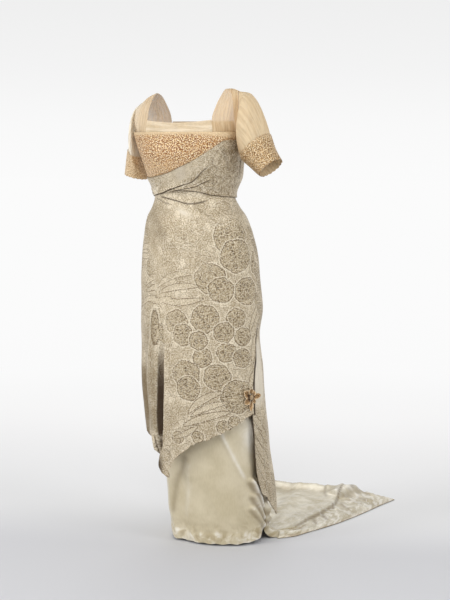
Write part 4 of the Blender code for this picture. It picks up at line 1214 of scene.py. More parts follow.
def build_cuff(side_name, side, surface, out, to_mouth, lace_finish):
    """Lace over the lower part of the sleeve, an even 80 mm from its mouth all round where the sleeve is
    long enough. Its two edges wave a little."""
    rows, columns = 44, surface.shape[1]
    turn = np.linspace(0, 2 * math.pi, columns + 1)[:-1][None, :]
    share = np.linspace(0, 1, rows)[:, None]
    long = np.minimum(CUFF_LENGTH, 0.88 * to_mouth[0])[None, :]
    wanted = long * (1 - share)
    place = np.arange(len(surface))[::-1]
    at = np.stack([np.interp(wanted[:, k], to_mouth[::-1, k], place) for k in range(columns)], 1)
    low = np.clip(at.astype(int), 0, len(surface) - 2)
    part = (at - low)[..., None]
    column = np.arange(columns)[None, :]
    on_sleeve = surface[low, column] * (1 - part) + surface[low + 1, column] * part
    outwards = out[low, column] * (1 - part) + out[low + 1, column] * part
    lift = NET + 2 * SEAM + LACE + 0.0005 * np.sin(9 * turn + 3 * share)
    cuff = on_sleeve + outwards * lift[..., None]
    lengthwise = np.gradient(on_sleeve, axis=0)
    lengthwise /= np.linalg.norm(lengthwise, axis=-1, keepdims=True)
    scallop = 0.0022 * np.abs(np.sin(9 * turn)) * share**3
    scallop = scallop + 0.0016 * np.sin(23 * turn) * (1 - share) ** 3
    cuff = cuff + lengthwise * (scallop - 0.0012 * share**3)[..., None]
    cuff[..., 0] *= side
    uv = (np.linspace(0, 1, columns + 1)[None, :] * 0.34, -CUFF_LENGTH * share)
    inner = bell(turn - math.radians(160), 0.8)
    shade = 0.3 * bell(share - 1, 0.04) + 0.4 * (side > 0) * inner
    # the cuff is paler at its upper edge, and the right cuff is painted lighter all over: painted light
    fields = {"veil_and_painted_light": 0.3 * ease(share, 0.22, 0) + 0.16 * (side < 0), "shade": shade}
    node = f"cuff_{side_name}"
    return cloth(node + "_cloth", cuff, 0.0009, lace_finish, uv, node, fields, round_it=True)


sleeve_left, cuff_left = build_sleeve("left", 1, LEFT_SLEEVE, NET_LEFT, LACE_CUFF)
sleeve_right, cuff_right = build_sleeve("right", -1, RIGHT_SLEEVE, NET_PAINTED_LIT, LACE_PAINTED_LIT)

# %% [markdown]
# ## The brocade wrap
#
# The wrap comes from the left underarm across the front down to the right of the waist, where it is caught
# up, so its folds all run to that point. A facing of plainer cloth lies along its upper edge. Each fold is
# one row of a table: how high it stands, how softly it falls, and the line that it follows.

# %% Wrap edges and folds
# angle and height of the edges
WRAP_TOP_FRONT = (
    (-90, 1.119), (-45, 1.117), (-18, 1.1265), (7, 1.149), (25, 1.171),
    (41, 1.2), (55, 1.2255), (68, 1.228), (80, 1.216), (90, 1.17),
)
WRAP_TOP_BACK = ((90, 1.172), (104, 1.19), (180, 1.175), (230, 1.135), (270, 1.119))
WAISTLINE = (
    (-180, 1.057), (-90, 1.058), (-47, 1.064), (-26, 1.07), (-4, 1.074),
    (20, 1.076), (42, 1.066), (70, 1.06), (110, 1.057), (180, 1.057),
)
FACING_FOLD = (
    (-47, 1.066), (-32, 1.071), (-17, 1.081), (5, 1.097), (16, 1.105),
    (22, 1.115), (29, 1.133), (35, 1.146), (46, 1.168),
)
# height, soft width, steep width or 0 for a ridge, darkness, and the line as angle and height
WRAP_FOLDS = pinned([
    (0.004, 0.026, 0.0018, 0.62, FACING_FOLD),
    (0.0002, 0.0016, 0, 1, FACING_FOLD[:5]),
    (0.0026, 0.009, 0.0014, 0.8,
     ((-12, 1.079), (8, 1.086), (22, 1.093), (30, 1.103), (37, 1.11), (47, 1.119))),
    (0.0014, 0.006, 0.0014, 0.4, ((2, 1.089), (14, 1.095), (24, 1.103), (33, 1.117), (42, 1.13))),
    (0.002, 0.008, 0.0014, 0.8, ((-20, 1.078), (6, 1.081), (20, 1.079), (32, 1.074), (46, 1.068))),
    (0.0026, 0.006, 0, 0.2, ((8, 1.088), (34, 1.092), (62, 1.086), (80, 1.082))),
    (0.0012, 0.004, 0.0012, 0.35, ((-31, 1.079), (-27, 1.098), (-23, 1.118))),
    (0.002, 0.007, 0, 0.3, ((55, 1.212), (60, 1.19), (66, 1.16), (66, 1.13))),
    (0.0016, 0.006, 0, 0.25, ((72, 1.2), (78, 1.16), (82, 1.12), (84, 1.08))),
    (0.0014, 0.005, 0, 0.25, ((44, 1.185), (50, 1.15), (58, 1.115), (60, 1.085))),
    (0.0034, 0.0045, 0, 0.6, ((-70, 1.074), (-58, 1.069), (-46, 1.066), (-36, 1.069))),
    (0.0024, 0.0035, 0, 0.6, ((-66, 1.083), (-54, 1.076), (-46, 1.07))),
    (0.0016, 0.008, 0, 0.2, ((-88, 1.1), (-70, 1.09), (-52, 1.074))),
])


def waistline(angle):
    """The seam between wrap and tunic: its height at any angle."""
    return along(WAISTLINE, (np.asarray(angle) + 180) % 360 - 180)


print("folds in the wrap:", len(WRAP_FOLDS))


# %% Wrap
BROCADE_OUT = LACE + 0.001
BROCADE_WALL = 0.0018


def wrap_grid(middle, columns, rows, top_line, fold_rows, bumps, edge):
    """One side of the wrap: angles across, heights from the waistline to the slanting upper edge, and points
    moved out by a soft blouse, a rolled edge, the folds, and bumps of a given size and height."""
    angle = np.linspace(middle - 90 + SEAM_ANGLE, middle + 90 - SEAM_ANGLE, columns) * np.ones((rows, 1))
    low, top = waistline(angle) + SEAM / 2, along(top_line, angle)
    height = low + (top - low) * np.linspace(0, 1, rows)[:, None]
    moved, shade = folds(plan(angle), height, fold_rows)
    out = BROCADE_OUT + BROCADE_WALL + 0.0052 * bell(height - waistline(angle), 0.014)
    out = out + edge * bell(top - height, 0.004)
    out = out + (moved + rumple(plan(angle), height, *bumps)) * ease(np.abs(angle - middle), 90, 84)
    return angle, height, height - low, top - height, on_form(BODY, angle, height, out), shade


def build_wrap_front():
    """The front of the wrap: its folds, its plainer facing, painted shade along its edges, and painted
    highlights.
    """
    grid = wrap_grid(0.0, 220, 72, WRAP_TOP_FRONT, WRAP_FOLDS, (0.045, 0.0007), 0.0008)
    angle, height, above, below, points, shade = grid
    s, u = plan(angle), tape("body", angle, height)
    off, _ = beside(s, height, drawn([(plan(a), h) for a, h in FACING_FOLD]))
    facing = ease(off, -0.0005, 0.002) * ease(below, 0.046, 0.034) * ease(angle, 42, 26)
    facing = facing * ease(angle, -34, -22)
    shade = np.maximum(shade, 0.95 * bell(above, 0.0022) * ease(angle, 20, 36))
    shade = np.maximum(shade, 0.45 * bell(above, 0.003))
    shade = np.maximum(shade, 0.6 * bell(below, 0.0014) * ease(angle, 40, 20))
    shade = np.maximum(shade, 0.95 * bell(angle - 90.0, 2.2) * ease(height, 1.1, 1.15))
    # painted highlights by the knot at the waist and along a band on the wearer's right
    painted_highlight = bell(angle + 50, 10) * bell(height - 1.07, 0.012)
    painted_highlight = painted_highlight + 0.5 * bell(height - 1.098, 0.02) * ease(angle, -26, -40)
    mottled = rumple(s + 0.3 * height, height, 0.021, 0.24) + rumple(s, height, 0.012, 0.16)
    by_middle = bell(angle - 6.0, 14.0)
    plain = 0.2 + 0.6 * by_middle
    # tone: painted highlights, painted shade darkening the wrap towards the wearer's left, and a lighter
    # facing near the middle
    tone = 0.16 * by_middle * facing - 0.18 * ease(angle, 30, 62) * (1 - facing) - 0.08 + 0.4 * painted_highlight
    tone = tone + mottled * (1 - 0.85 * facing * plain)
    faint = 0.45 + 0.55 * facing
    fields = brocade_fields(u + 0.1, height + 0.33, shade, faint, tone, plain * facing, repeat=True)
    return cloth("wrap_front_cloth", points, 0.0012, BROCADE, (u, height), "wrap_front", fields)


WRAP_BACK_FOLDS = pinned([
    (0.0026, 0.01, 0, 0.25, ((268, 1.078), (230, 1.088), (190, 1.104), (150, 1.13), (120, 1.16))),
    (0.0022, 0.009, 0, 0.25, ((268, 1.07), (225, 1.074), (180, 1.082), (135, 1.098), (110, 1.118))),
    (0.002, 0.009, 0.002, 0.5, ((262, 1.09), (235, 1.106), (205, 1.128), (178, 1.15))),
])


def build_wrap_back():
    """The back of the wrap, with softer folds that run the same way."""
    grid = wrap_grid(180.0, 150, 46, WRAP_TOP_BACK, WRAP_BACK_FOLDS, (0.05, 0.0006), 0.0)
    angle, height, above, _, points, shade = grid
    shade = np.maximum(shade, 0.6 * bell(above, 0.003))
    u = tape("body", angle, height)
    fields = brocade_fields(u + 0.1, height + 0.33, shade, 0.25, -0.12, repeat=True)
    return cloth("wrap_back_cloth", points, 0.0012, BROCADE, (u, height), "wrap_back", fields)


wrap_front = build_wrap_front()
wrap_back = build_wrap_back()

# %% [markdown]
# ## The brocade tunic
#
# The tunic's front is wrapped over from the left, and its hem slants down to a point at the right. Its back
# goes from under the front's right edge round the back to under its left edge, where its corner hangs down as
# a long tail. Both lie on the body form. Upright folds open below the hips, and the deepest one, beside the
# front's right edge, shows the brown reverse of the cloth, darkened further by painted shade.

# %% Tunic edges and folds
# angle and height of the hems
TUNIC_FRONT_HEM = (
    (-24, 0.226), (-20, 0.218), (-14, 0.24), (-4, 0.284), (8, 0.321),
    (26, 0.344), (44, 0.371), (62, 0.398), (75, 0.416),
)
TUNIC_BACK_HEM = (
    (-288, 0.275), (-285, 0.204), (-280, 0.156), (-267, 0.13), (-257, 0.095), (-246, 0.067),
    (-236, 0.07), (-215, 0.114), (-180, 0.185), (-130, 0.262), (-90, 0.324), (-58, 0.337),
    (-44, 0.322), (-32, 0.285), (-24, 0.275), (-14, 0.31), (-6, 0.35),
)
# height, then the angles of the front's right and left edge
TUNIC_FRONT_EDGE = (
    (1.076, -58, 92), (0.9, -38, 92), (0.76, -24, 91), (0.62, -16, 85),
    (0.54, -16.5, 77.4), (0.474, -17, 72.6), (0.41, -18.5, 71.6), (0.31, -22, 71.5),
    (0.276, -27, 71.5), (0.25, -28, 71.5), (0.218, -21, 71.5),
)
# angle, depth, half width, where the fold starts and where it is full
TUNIC_UPRIGHT_FOLDS = (
    (-23, -0.015, 4.5, 0.68, 0.48), (-36, 0.005, 5, 0.7, 0.5), (-46.5, -0.006, 3.5, 0.66, 0.46),
    (-57, 0.004, 6, 0.7, 0.46), (-112, 0.006, 9, 0.6, 0.35), (-150, -0.006, 9, 0.6, 0.35),
    (-205, 0.006, 9, 0.6, 0.3), (-262, -0.005, 7, 0.45, 0.25),
)
TUNIC_FRONT_FOLDS = pinned([
    (0.0026, 0.01, 0.002, 0.95,
     ((-38, 1.064), (-28, 1.061), (-16, 1.056), (-1.5, 1.049), (12, 1.043), (24, 1.045), (33, 1.05),
      (44, 1.061))),
    (0.0018, 0.006, 0.0018, 0.7, ((-50, 1.058), (-40, 1.056), (-25.5, 1.046), (-11, 1.038))),
    (0.003, 0.006, 0, 0.2, ((44, 0.978), (38, 0.99), (30, 1.006), (22, 1.026), (15, 1.041))),
    (0.0024, 0.016, 0, 0.12, ((-44, 1.04), (-30, 1.01), (-14, 0.96), (0, 0.9))),
    (0.002, 0.018, 0, 0.1, ((70, 1.03), (64, 0.96), (52, 0.89), (30, 0.83))),
    (0.002, 0.012, 0.0022, 0.7, ((-10, 0.274), (-2, 0.287), (5, 0.3), (10, 0.312))),
    (0.0022, 0.02, 0, 0.1, ((-14, 0.6), (-12, 0.48), (-14, 0.38), (-18, 0.29))),
    (0.0018, 0.022, 0, 0.1, ((46, 0.64), (42, 0.56), (44, 0.48), (50, 0.41))),
])
FRONT_OUT = 0.0054
# the left side is drawn in a little where the tail starts: by how much, and at what angle and height
KNEE_DRAW = (0.009, 113.0, 0.64)
# a plainer band of the cloth that runs down beside the front's right edge
FRONT_BAND = ((-38, 1), (-33, 0.93), (-24, 0.869), (-15, 0.78), (-11, 0.64))


def upright(rows, angle, height):
    """Upright folds: each is a hump across, and fades in down the height."""
    moved = np.zeros(np.broadcast(angle, height).shape)
    for at, depth, half_width, top, full in rows:
        moved = moved + depth * bell(angle - at, half_width) * ease(height, top, full)
    return moved


def tunic_front_relief(angle, height):
    """The front stands off the side at its hanging right edge, and its lower part swings a little forward."""
    right = along(TUNIC_FRONT_EDGE, height)
    hang = ease(height, 0.66, 0.34)
    edge = 0.004 * bell(angle - right, 9.0) * hang
    return edge + 0.003 * hang + 0.002 * np.sin(np.radians((angle - 20) * 4)) * hang


print("folds in the tunic front:", len(TUNIC_FRONT_FOLDS))


# %% Tunic front
def build_tunic_front():
    """Shares across between the two edges, heights from the slanting hem to the waistline."""
    columns, rows = 160, 250
    share = np.linspace(0, 1, columns)[None, :]
    first, last = TUNIC_FRONT_HEM[0][0], TUNIC_FRONT_HEM[-1][0]
    low = along(TUNIC_FRONT_HEM, first + (last - first) * share)
    top_right, top_left = along(TUNIC_FRONT_EDGE, 1.064), along(TUNIC_FRONT_EDGE, 1.064, 2)
    top = waistline(top_right + (top_left - top_right) * share) - SEAM / 2
    up = np.linspace(0, 1, rows)[:, None]
    ripple = 0.0018 * np.sin(share * 71 + 2 * np.sin(share * 17)) + 0.0012 * np.sin(share * 143)
    height = low + ripple * (1 - up) ** 12 + (top - low) * up
    right, left = along(TUNIC_FRONT_EDGE, height), along(TUNIC_FRONT_EDGE, height, 2)
    angle = right + (left - right) * share
    s = plan(angle)
    moved, shade = folds(s, height, TUNIC_FRONT_FOLDS)
    soft = rumple(s, height, 0.11, 0.001) + rumple(s, height, 0.035, 0.0004)
    soft = soft - KNEE_DRAW[0] * bell(angle - KNEE_DRAW[1], 22.0) * bell(height - KNEE_DRAW[2], 0.055)
    hem_roll = 0.0014 * bell(height - low, 0.006) + 0.0012 * np.sin(share * 90) * bell(height - low, 0.02)
    curl = 0.0045 * bell(share, 0.08) * bell(height - low, 0.035)
    lift = 0.003 * bell(1 - share, 0.05) * ease(height, 0.66, 0.58)
    quiet = ease(top - height, 0, 0.006)
    out = FRONT_OUT + BROCADE_WALL + tunic_front_relief(angle, height) + lift
    points = on_form(BODY, angle, height, out + (moved + soft + hem_roll + curl) * quiet)
    u = tape("body", angle, height)
    # painted shade along the hem's edge and in the curl at the front's right corner
    shade = np.maximum(shade, 0.75 * bell(height - low, 0.0022) * (0.5 + 0.5 * np.sin(share * 37)))
    shade = np.maximum(shade, 0.9 * bell(share, 0.05) * bell(height - 0.25, 0.028))
    # bright: a kite-shaped patch of plainer cloth that also carries a painted highlight
    bright = bell(s - 0.012 - 0.2 * (1.02 - height), 0.026) * bell(height + 0.3 * s - 1.02, 0.01)
    # edge_light: a painted highlight along both edges of the front
    edge_light = bell(1 - share, 0.01) * ease(height, 0.66, 0.58)
    edge_light = edge_light + 0.7 * bell(share, 0.01) * ease(height, 0.72, 0.62)
    # tone: painted highlights on the patch, along the edges and by the knot, a lighter band above the hem,
    # and two zones made darker
    tone = 0.46 * bright + 0.2 * edge_light + 0.12 * bell(angle + 32, 12) * bell(height - 1.046, 0.012)
    tone = tone + 0.1 * bell(height - low - 0.01, 0.014)
    tone = tone - 0.3 * bell(angle + 25, 20) * bell(height - 0.945, 0.12) * (1 - bright)
    tone = tone - 0.12 * ease(s, 0, -0.05) * ease(height, 0.9, 0.96)
    faint = 0.62 * ease(u, 0.02, -0.09) + 0.8 * bright + 0.6 * ease(height, 0.955, 1)
    faint = faint + 0.6 * ease(height, 0.78, 0.88) * ease(u, 0.12, 0.07)
    faint = np.clip(faint * (1 - 0.85 * bell(height - 0.785, 0.04) * bell(u + 0.005, 0.085)), 0, 0.92)
    plain = 0.8 * bright + 0.35 * near_line(s, height, FRONT_BAND, 0.016)
    fields = brocade_fields(u, height, shade, faint, tone, plain)
    return cloth("tunic_front_cloth", points, 0.0013, BROCADE, (u, height), "tunic_front", fields)


tunic_front = build_tunic_front()

# %% [markdown]
# ## The tunic's sides and back
#
# The tail shows the slanting long leaves of the pattern. At the lower end of the deep fold the cloth is
# caught up in a small ruffle, so the folds there are short and close, with painted shade in their hollows and
# painted highlights on their crests.

# %% Tunic back
TAIL_LEAVES = np.array([
    (0.24, 0.385, 0.045, 0.01, -50, 0.004), (0.245, 0.34, 0.055, 0.011, -52, 0.004),
    (0.254, 0.292, 0.06, 0.011, -54, 0.004), (0.262, 0.24, 0.06, 0.012, -56, -0.004),
    (0.28, 0.195, 0.05, 0.01, -58, 0.004), (0.296, 0.15, 0.04, 0.009, -54, 0.003),
    (0.284, 0.345, 0.05, 0.01, -56, 0.003), (0.29, 0.275, 0.05, 0.01, -58, 0.003),
])
# height, then the left edge of the recess and the edge of the side's outer layer
RECESS = ((0.311, -31, -49.5), (0.47, -28.5, -43), (0.624, -25, -36.5), (0.75, -22, -32))
SLIT_END = 0.405


def tunic_back_shade(angle, height, low):
    """Painted shade, where the cloth is dark: in the recess, where its brown reverse also shows, along the
    slit beside the front's left edge, under the side's outer layer, and at the hem."""
    left = along(RECESS, height)
    # the brown reverse of the cloth in the recess, darkened with painted shade
    reverse_and_shade = ease(angle, left - 1.2, left + 0.8) * ease(height, 0.65, 0.55) * ease(angle, -5, -9)
    reverse_and_shade = reverse_and_shade * (1 - 0.7 * ease(height, 0.35, 0.325))
    shade = (0.62 + 0.34 * ease(height, 0.58, 0.46)) * reverse_and_shade
    slit = along(TUNIC_FRONT_EDGE, np.maximum(height, SLIT_END), 2) + 1.0
    turned = (angle + 360) % 360
    slit = np.where(height > SLIT_END, slit, 72.2)
    hidden = np.where(height > SLIT_END, 5.4, 0.6)
    # painted shadow in the slit, under the front's left edge
    beside_front = np.where(turned < slit + hidden, 1.0, bell(turned - slit - hidden, 1.2))
    beside_front = beside_front * ease(height, 0.7, 0.62) * ease(turned, 60, 70)
    shade = np.maximum(shade, 0.95 * beside_front)
    border = along(RECESS, height, 2)
    outer = ease(angle, border, border - 3.0) * ease(height, 0.78, 0.66) * ease(angle, -84, -72)
    shade = np.maximum(shade, 0.2 * outer)
    shade = np.maximum(shade, 0.6 * bell(angle - border + 1.4, 1.0) * ease(height, 0.72, 0.62))
    return np.maximum(shade, 0.7 * bell(height - low, 0.003))


def build_tunic_back():
    """Angles from under the front's left edge round the back to under its right edge, closer together at
    both ends."""
    slit_side = np.linspace(72 - 360, 98 - 360, 32)[:-1]
    wide = np.linspace(98 - 360, -62, 118)[:-1]
    close = np.linspace(-62, -6, 64)
    angle = np.concatenate([slit_side, wide, close])[None, :]
    low = along(TUNIC_BACK_HEM, angle)
    top = np.minimum(waistline(angle), WAIST_SEAM) - SEAM / 2
    up = np.linspace(0, 1, 210)[:, None]
    turn = np.radians(angle)
    ripple = 0.0018 * np.sin(turn * 31 + np.sin(turn * 7))
    frill = 0.0035 * np.sin(turn * 62) * bell(angle + 30, 9.0)
    height = low + (ripple + frill) * (1 - up) ** 12 + (top - low) * up
    angle = angle * np.ones_like(up)
    s = plan(angle)
    border = along(RECESS, height, 2)
    deep = upright(TUNIC_UPRIGHT_FOLDS, angle, height)
    deep = deep + 0.0022 * bell(angle + 33.5, 2.0) * ease(height, 0.66, 0.56)
    by_border = 0.0024 * ease(angle, border - 2.0, border + 0.5) * bell(angle - border, 5.0)
    deep = deep + by_border * ease(height, 0.76, 0.62)
    soft = rumple(s, height, 0.13, 0.0009) * ease(top - height, 0, 0.05)
    near_end = bell(height - 0.308, 0.03) * bell(angle + 31, 11.0)
    wave = np.sin(turn * 48 + (height - 0.3) * 90 + 1.5 * np.sin(turn * 23))
    ruffle = 0.0075 * wave * near_end
    tail_fold = 0.003 * bell(angle + 272, 2.5) - 0.0026 * bell(angle + 266, 2.2)
    tail_fold = (tail_fold + 0.0026 * bell(angle + 259, 3.0)) * ease(height, 0.72, 0.5)
    drawn_in = bell((angle + 360) % 360 - KNEE_DRAW[1], 22.0) * bell(height - KNEE_DRAW[2], 0.055)
    tail_fold = tail_fold - KNEE_DRAW[0] * drawn_in
    out = BROCADE_OUT + BROCADE_WALL + deep + soft + ruffle + tail_fold
    points = on_form(BODY, angle, height, out)
    u = tape("body", angle, height)
    shade = tunic_back_shade(angle, height, low)
    # painted shade in the ruffle's hollows
    shade = np.maximum(shade, 0.95 * near_end * ease(wave, 0.2, -0.5))
    tail = ease(angle, -252, -262) * ease(height, 0.66, 0.6)
    pale = tail * ease(height, 0.39, 0.47)
    lower = tail * ease(height, 0.43, 0.38)
    strip = ease(angle, border, border + 2.0) * ease(angle, -27, -31)
    strip = strip * ease(height, 0.78, 0.68) * ease(height, 0.33, 0.36)
    # a painted highlight along the outer layer's folded edge
    crest_highlight = bell(angle - border - 0.8, 0.8) * ease(height, 0.76, 0.66)
    # painted highlights on the ruffle's crests
    frill_highlights = near_end * ease(wave, 0.3, 0.8)
    tone = 0.55 * pale - 0.25 * lower - 0.42 * strip + 0.3 * crest_highlight + 0.3 * frill_highlights
    outer = 0.62 * ease(angle, border, border - 3.0) * ease(height, 0.6, 0.5)
    tone = tone - outer * ease(angle, -84, -72)
    faint = 0.1 + 0.65 * pale
    fields = brocade_fields(u + 0.06, height, np.clip(shade, 0, 1), faint, tone, 0.75 * pale, repeat=True)
    medallion = 0.012 - np.hypot(s - plan(-28.5), (height - 0.668) / 4.2)
    fields["roundel_1"] = np.maximum(fields["roundel_1"], medallion)
    fields["faint"] = faint * ease(medallion, 0.004, -0.004)
    tail_u = tape("body", np.clip(angle + 360, 0, 180), height)
    fields["leaf"] = np.where(tail > 0.5, leaf_field(tail_u, height, TAIL_LEAVES), fields["leaf"])
    for k in range(3):
        fields[f"roundel_{k}"] = np.where(tail > 0.5, -1.0, fields[f"roundel_{k}"])
    return cloth("tunic_back_cloth", points, 0.0013, BROCADE, (u, height), "tunic_back", fields)


tunic_back = build_tunic_back()

# %% [markdown]
# ## The satin skirt
#
# The satin hangs inside the tunic from the waist and narrows to the ankles. Its folds are few and soft: one
# long crease that catches the light under the tunic's hem, with a painted highlight, a shadowed one at the
# right, with painted shade, and a bundle that runs to the train at the left. The hem is turned up and puckers
# a little, and its puckers carry painted highlights.

# %% Skirt front
SHEATH_UPRIGHT_FOLDS = (
    (-22, -0.007, 7, 0.36, 0.16), (-40, 0.006, 8, 0.34, 0.16), (48, 0.004, 8, 0.36, 0.2),
    (62, -0.003, 6, 0.24, 0.1),
)
SIDE_PUFF = ((74, 0.016, 17, 0.45, 0.36),)
SATIN = 0.0014
SATIN_OUT = -0.0002
# the side seams' angle, their width, and half of it as an angle
SIDE_SEAM_AT = 95.0
SIDE_SEAM = 0.0012
SIDE_SEAM_ANGLE = math.degrees(SIDE_SEAM / 2 / SIDE_RADIUS)
BRIGHT_CREASE = ((30, 0.39), (36, 0.353), (43, 0.315), (51, 0.275), (59, 0.233), (66.5, 0.194))
DARK_CREASE = ((-9, 0.29), (-17, 0.235), (-27, 0.195), (-34, 0.13), (-40, 0.064))
PALE_CREASE = ((-4, 0.27), (-8, 0.205), (-12, 0.13), (-17, 0.074))
SLIT_CREASE = ((71, 0.41), (75, 0.37), (80, 0.335), (84, 0.3))
SKIRT_FRONT_FOLDS = pinned([
    (0.005, 0.008, 0, 0.14, BRIGHT_CREASE),
    (-0.004, 0.011, 0, 0, DARK_CREASE),
    (0.003, 0.01, 0, 0, PALE_CREASE),
    (0.004, 0.008, 0, 0, SLIT_CREASE),
    (0.0024, 0.005, 0, 0.18, ((56, 0.12), (66, 0.085), (78, 0.055))),
    (0.0018, 0.01, 0, 0, ((14, 0.22), (20, 0.15), (30, 0.08))),
])
# these cross the side seam, so both pieces of satin use them
BUNDLE_FOLDS = pinned([
    (0.014, 0.0115, 0, 0.62,
     ((71, 0.215), (78, 0.17), (87, 0.133), (96, 0.108), (106, 0.088), (116, 0.068))),
    (0.012, 0.01, 0, 0.62, ((69, 0.168), (77, 0.126), (87, 0.092), (97, 0.07), (107, 0.054), (117, 0.042))),
    (0.0095, 0.009, 0, 0.52, ((66, 0.126), (75, 0.09), (85, 0.062), (96, 0.044), (108, 0.032))),
    (0.011, 0.01, 0, 0.7, ((84, 0.205), (92, 0.168), (100, 0.14), (110, 0.118))),
])


def build_skirt_front():
    """Angles between the side seams, heights from the hem to the waist."""
    columns, rows = 130, 270
    edge = SIDE_SEAM_AT - SIDE_SEAM_ANGLE
    angle = np.linspace(-edge, edge, columns) * np.ones((rows, 1))
    side = np.abs(angle / SIDE_SEAM_AT) ** 6
    low = 0.006 + 0.04 * side * (angle > 0) + 0.015 * side * (angle < 0)
    low = low + 0.0014 * np.sin(np.radians(angle) * 22) * ease(np.abs(angle), 94, 84)
    top = WAIST_SEAM - SEAM / 2
    height = low + (top - low) * np.linspace(0, 1, rows)[:, None]
    s = plan(angle)
    moved, shade = folds(s, height, SKIRT_FRONT_FOLDS)
    pucker_line = np.sin(s / 0.026 * 3.14 + 1.6 * np.sin(s * 27))
    pucker_line = pucker_line + 0.7 * np.sin(s / 0.014 * 3.14 + 60 * height)
    pucker = 0.0016 * pucker_line * bell(height - low - 0.024, 0.018)
    fold_up = -0.0012 * bell(height - low - 0.034, 0.004)
    quiet = ease(top - height, 0.55, 0.75) * ease(np.abs(angle), 95, 90)
    deep = upright(SHEATH_UPRIGHT_FOLDS + SIDE_PUFF, angle, height)
    soft = rumple(s, height, 0.16, 0.001)
    bundle, bundle_shade = folds(s, height, BUNDLE_FOLDS)
    out = SATIN_OUT + SATIN + deep + (moved + pucker + fold_up + soft) * quiet + bundle
    points = on_form(SHEATH, angle, height, out)
    u = tape("sheath", angle, height)
    # painted shade along the dark crease and beside the bundle's folds
    shade = np.maximum(shade * quiet, 0.42 * near_line(s, height, DARK_CREASE, 0.013))
    shade = np.maximum(shade, bundle_shade)
    # bright: painted highlights along the bright and pale creases, and painted light on the satin beside the
    # slit, where the tail shades it
    bright = 0.52 * near_line(s, height, BRIGHT_CREASE, 0.0065)
    bright = bright + 0.24 * near_line(s, height, PALE_CREASE, 0.01)
    bright = bright + 0.75 * bell(angle - 76, 15) * bell(height - 0.345, 0.07)
    # painted highlights on the hem's puckers
    pucker_highlights = ease(pucker_line, 0.1, 1.2) * bell(height - low - 0.026, 0.014)
    # tone: those painted highlights, a painted highlight on the hem's edge and on the bundle's raised folds,
    # and a darker band above the hem
    tone = bright + 0.32 * pucker_highlights + 0.35 * bell(height - low, 0.003)
    tone = tone + 0.8 * np.clip(bundle / 0.0135, 0, 1) ** 2 - 0.25 * bell(height - low - 0.055, 0.016)
    # how crumpled the satin is, which also sets the strength of its painted sheen
    crumple_and_sheen = 0.1 + 0.85 * bell(height - low - 0.018, 0.022)
    crumple_and_sheen = crumple_and_sheen + 0.35 * ease(angle, 50, 75) * ease(height, 0.22, 0.15)
    fields = {"shade": shade, "tone": tone, "crumple_and_sheen": crumple_and_sheen}
    name, node = "skirt_front_cloth", "underskirt_front"
    return cloth(name, points, 0.0011, SATIN_FRONT, (u, height), node, fields)


skirt_front = build_skirt_front()

# %% [markdown]
# ## The train
#
# The satin of the back runs down behind, bends, and lies out on the floor as a train. Each column of the grid
# goes straight down, round a quarter of an ellipse, and then out to its place on the train's end. The folds
# on the floor are drawn on the floor plan: one high lap along the near side, and short creases across it
# where the satin was laid down. Three rolls run from the side seam round the near corner.

# %% Train folds
# from x and y, to x and y, height, half width
TRAIN_FOLDS = (
    (0.08, 0.33, 0.06, 0.79, 0.008, 0.034),
    (-0.04, 0.36, -0.07, 0.79, 0.012, 0.032),
    (-0.14, 0.3, -0.2, 0.76, 0.012, 0.028),
)
MAIN_FOLD = [
    (0.218, 0.22), (0.217, 0.327), (0.222, 0.443), (0.223, 0.561),
    (0.196, 0.68), (0.176, 0.77), (0.168, 0.87),
]
# height, soft width, steep width or 0 for a ridge, darkness, and the line as x and y
TRAIN_CREASES = [
    (0.011, 0.06, 0.0034, 0.7, MAIN_FOLD),
    (0.004, 0.03, 0.006, 0.45, [(0.09, 0.87), (0.12, 0.78), (0.15, 0.7), (0.19, 0.64)]),
    (0.003, 0.01, 0, 0.4, [(0.225, 0.3), (0.247, 0.27), (0.27, 0.225)]),
    (0.003, 0.008, 0, 0.5, [(0.232, 0.4), (0.254, 0.365), (0.284, 0.32)]),
    (0.003, 0.008, 0, 0.6, [(0.232, 0.48), (0.256, 0.44), (0.29, 0.4)]),
    (0.003, 0.007, 0, 0.65, [(0.228, 0.592), (0.236, 0.566), (0.25, 0.536)]),
    (0.003, 0.009, 0, 0.45, [(0.228, 0.65), (0.266, 0.6), (0.308, 0.56)]),
    (0.003, 0.009, 0, 0.4, [(0.214, 0.71), (0.262, 0.68), (0.322, 0.64)]),
    (0.004, 0.01, 0, 0.5, [(0.2, 0.78), (0.254, 0.75), (0.32, 0.7)]),
    (0.005, 0.012, 0, 0.6, [(0.186, 0.86), (0.212, 0.82), (0.236, 0.77)]),
    (0.004, 0.01, 0, 0.45, [(0.228, 0.86), (0.262, 0.81), (0.306, 0.76)]),
    (0.003, 0.016, 0, 0.3, [(0.04, 0.63), (0.066, 0.57), (0.08, 0.5)]),
    (0.003, 0.016, 0, 0.25, [(0.07, 0.48), (0.11, 0.42), (0.15, 0.33)]),
    (0.003, 0.018, 0, 0.25, [(0, 0.84), (0.02, 0.74), (0.06, 0.65)]),
    (0.003, 0.018, 0, 0.25, [(-0.1, 0.82), (-0.1, 0.7), (-0.08, 0.58)]),
    (0.003, 0.018, 0, 0.25, [(-0.24, 0.74), (-0.2, 0.64), (-0.18, 0.52)]),
    (0.006, 0.012, 0, 0.45, [(0.14, 0.23), (0.18, 0.2), (0.224, 0.16)]),
    (0.015, 0.038, 0, 0.24, [(-0.32, 0.725), (-0.15, 0.765), (0.04, 0.78), (0.22, 0.785), (0.28, 0.78)]),
    (0.017, 0.028, 0, 0.45, [(0.178, 0.68), (0.19, 0.75), (0.2, 0.8), (0.206, 0.87)]),
]


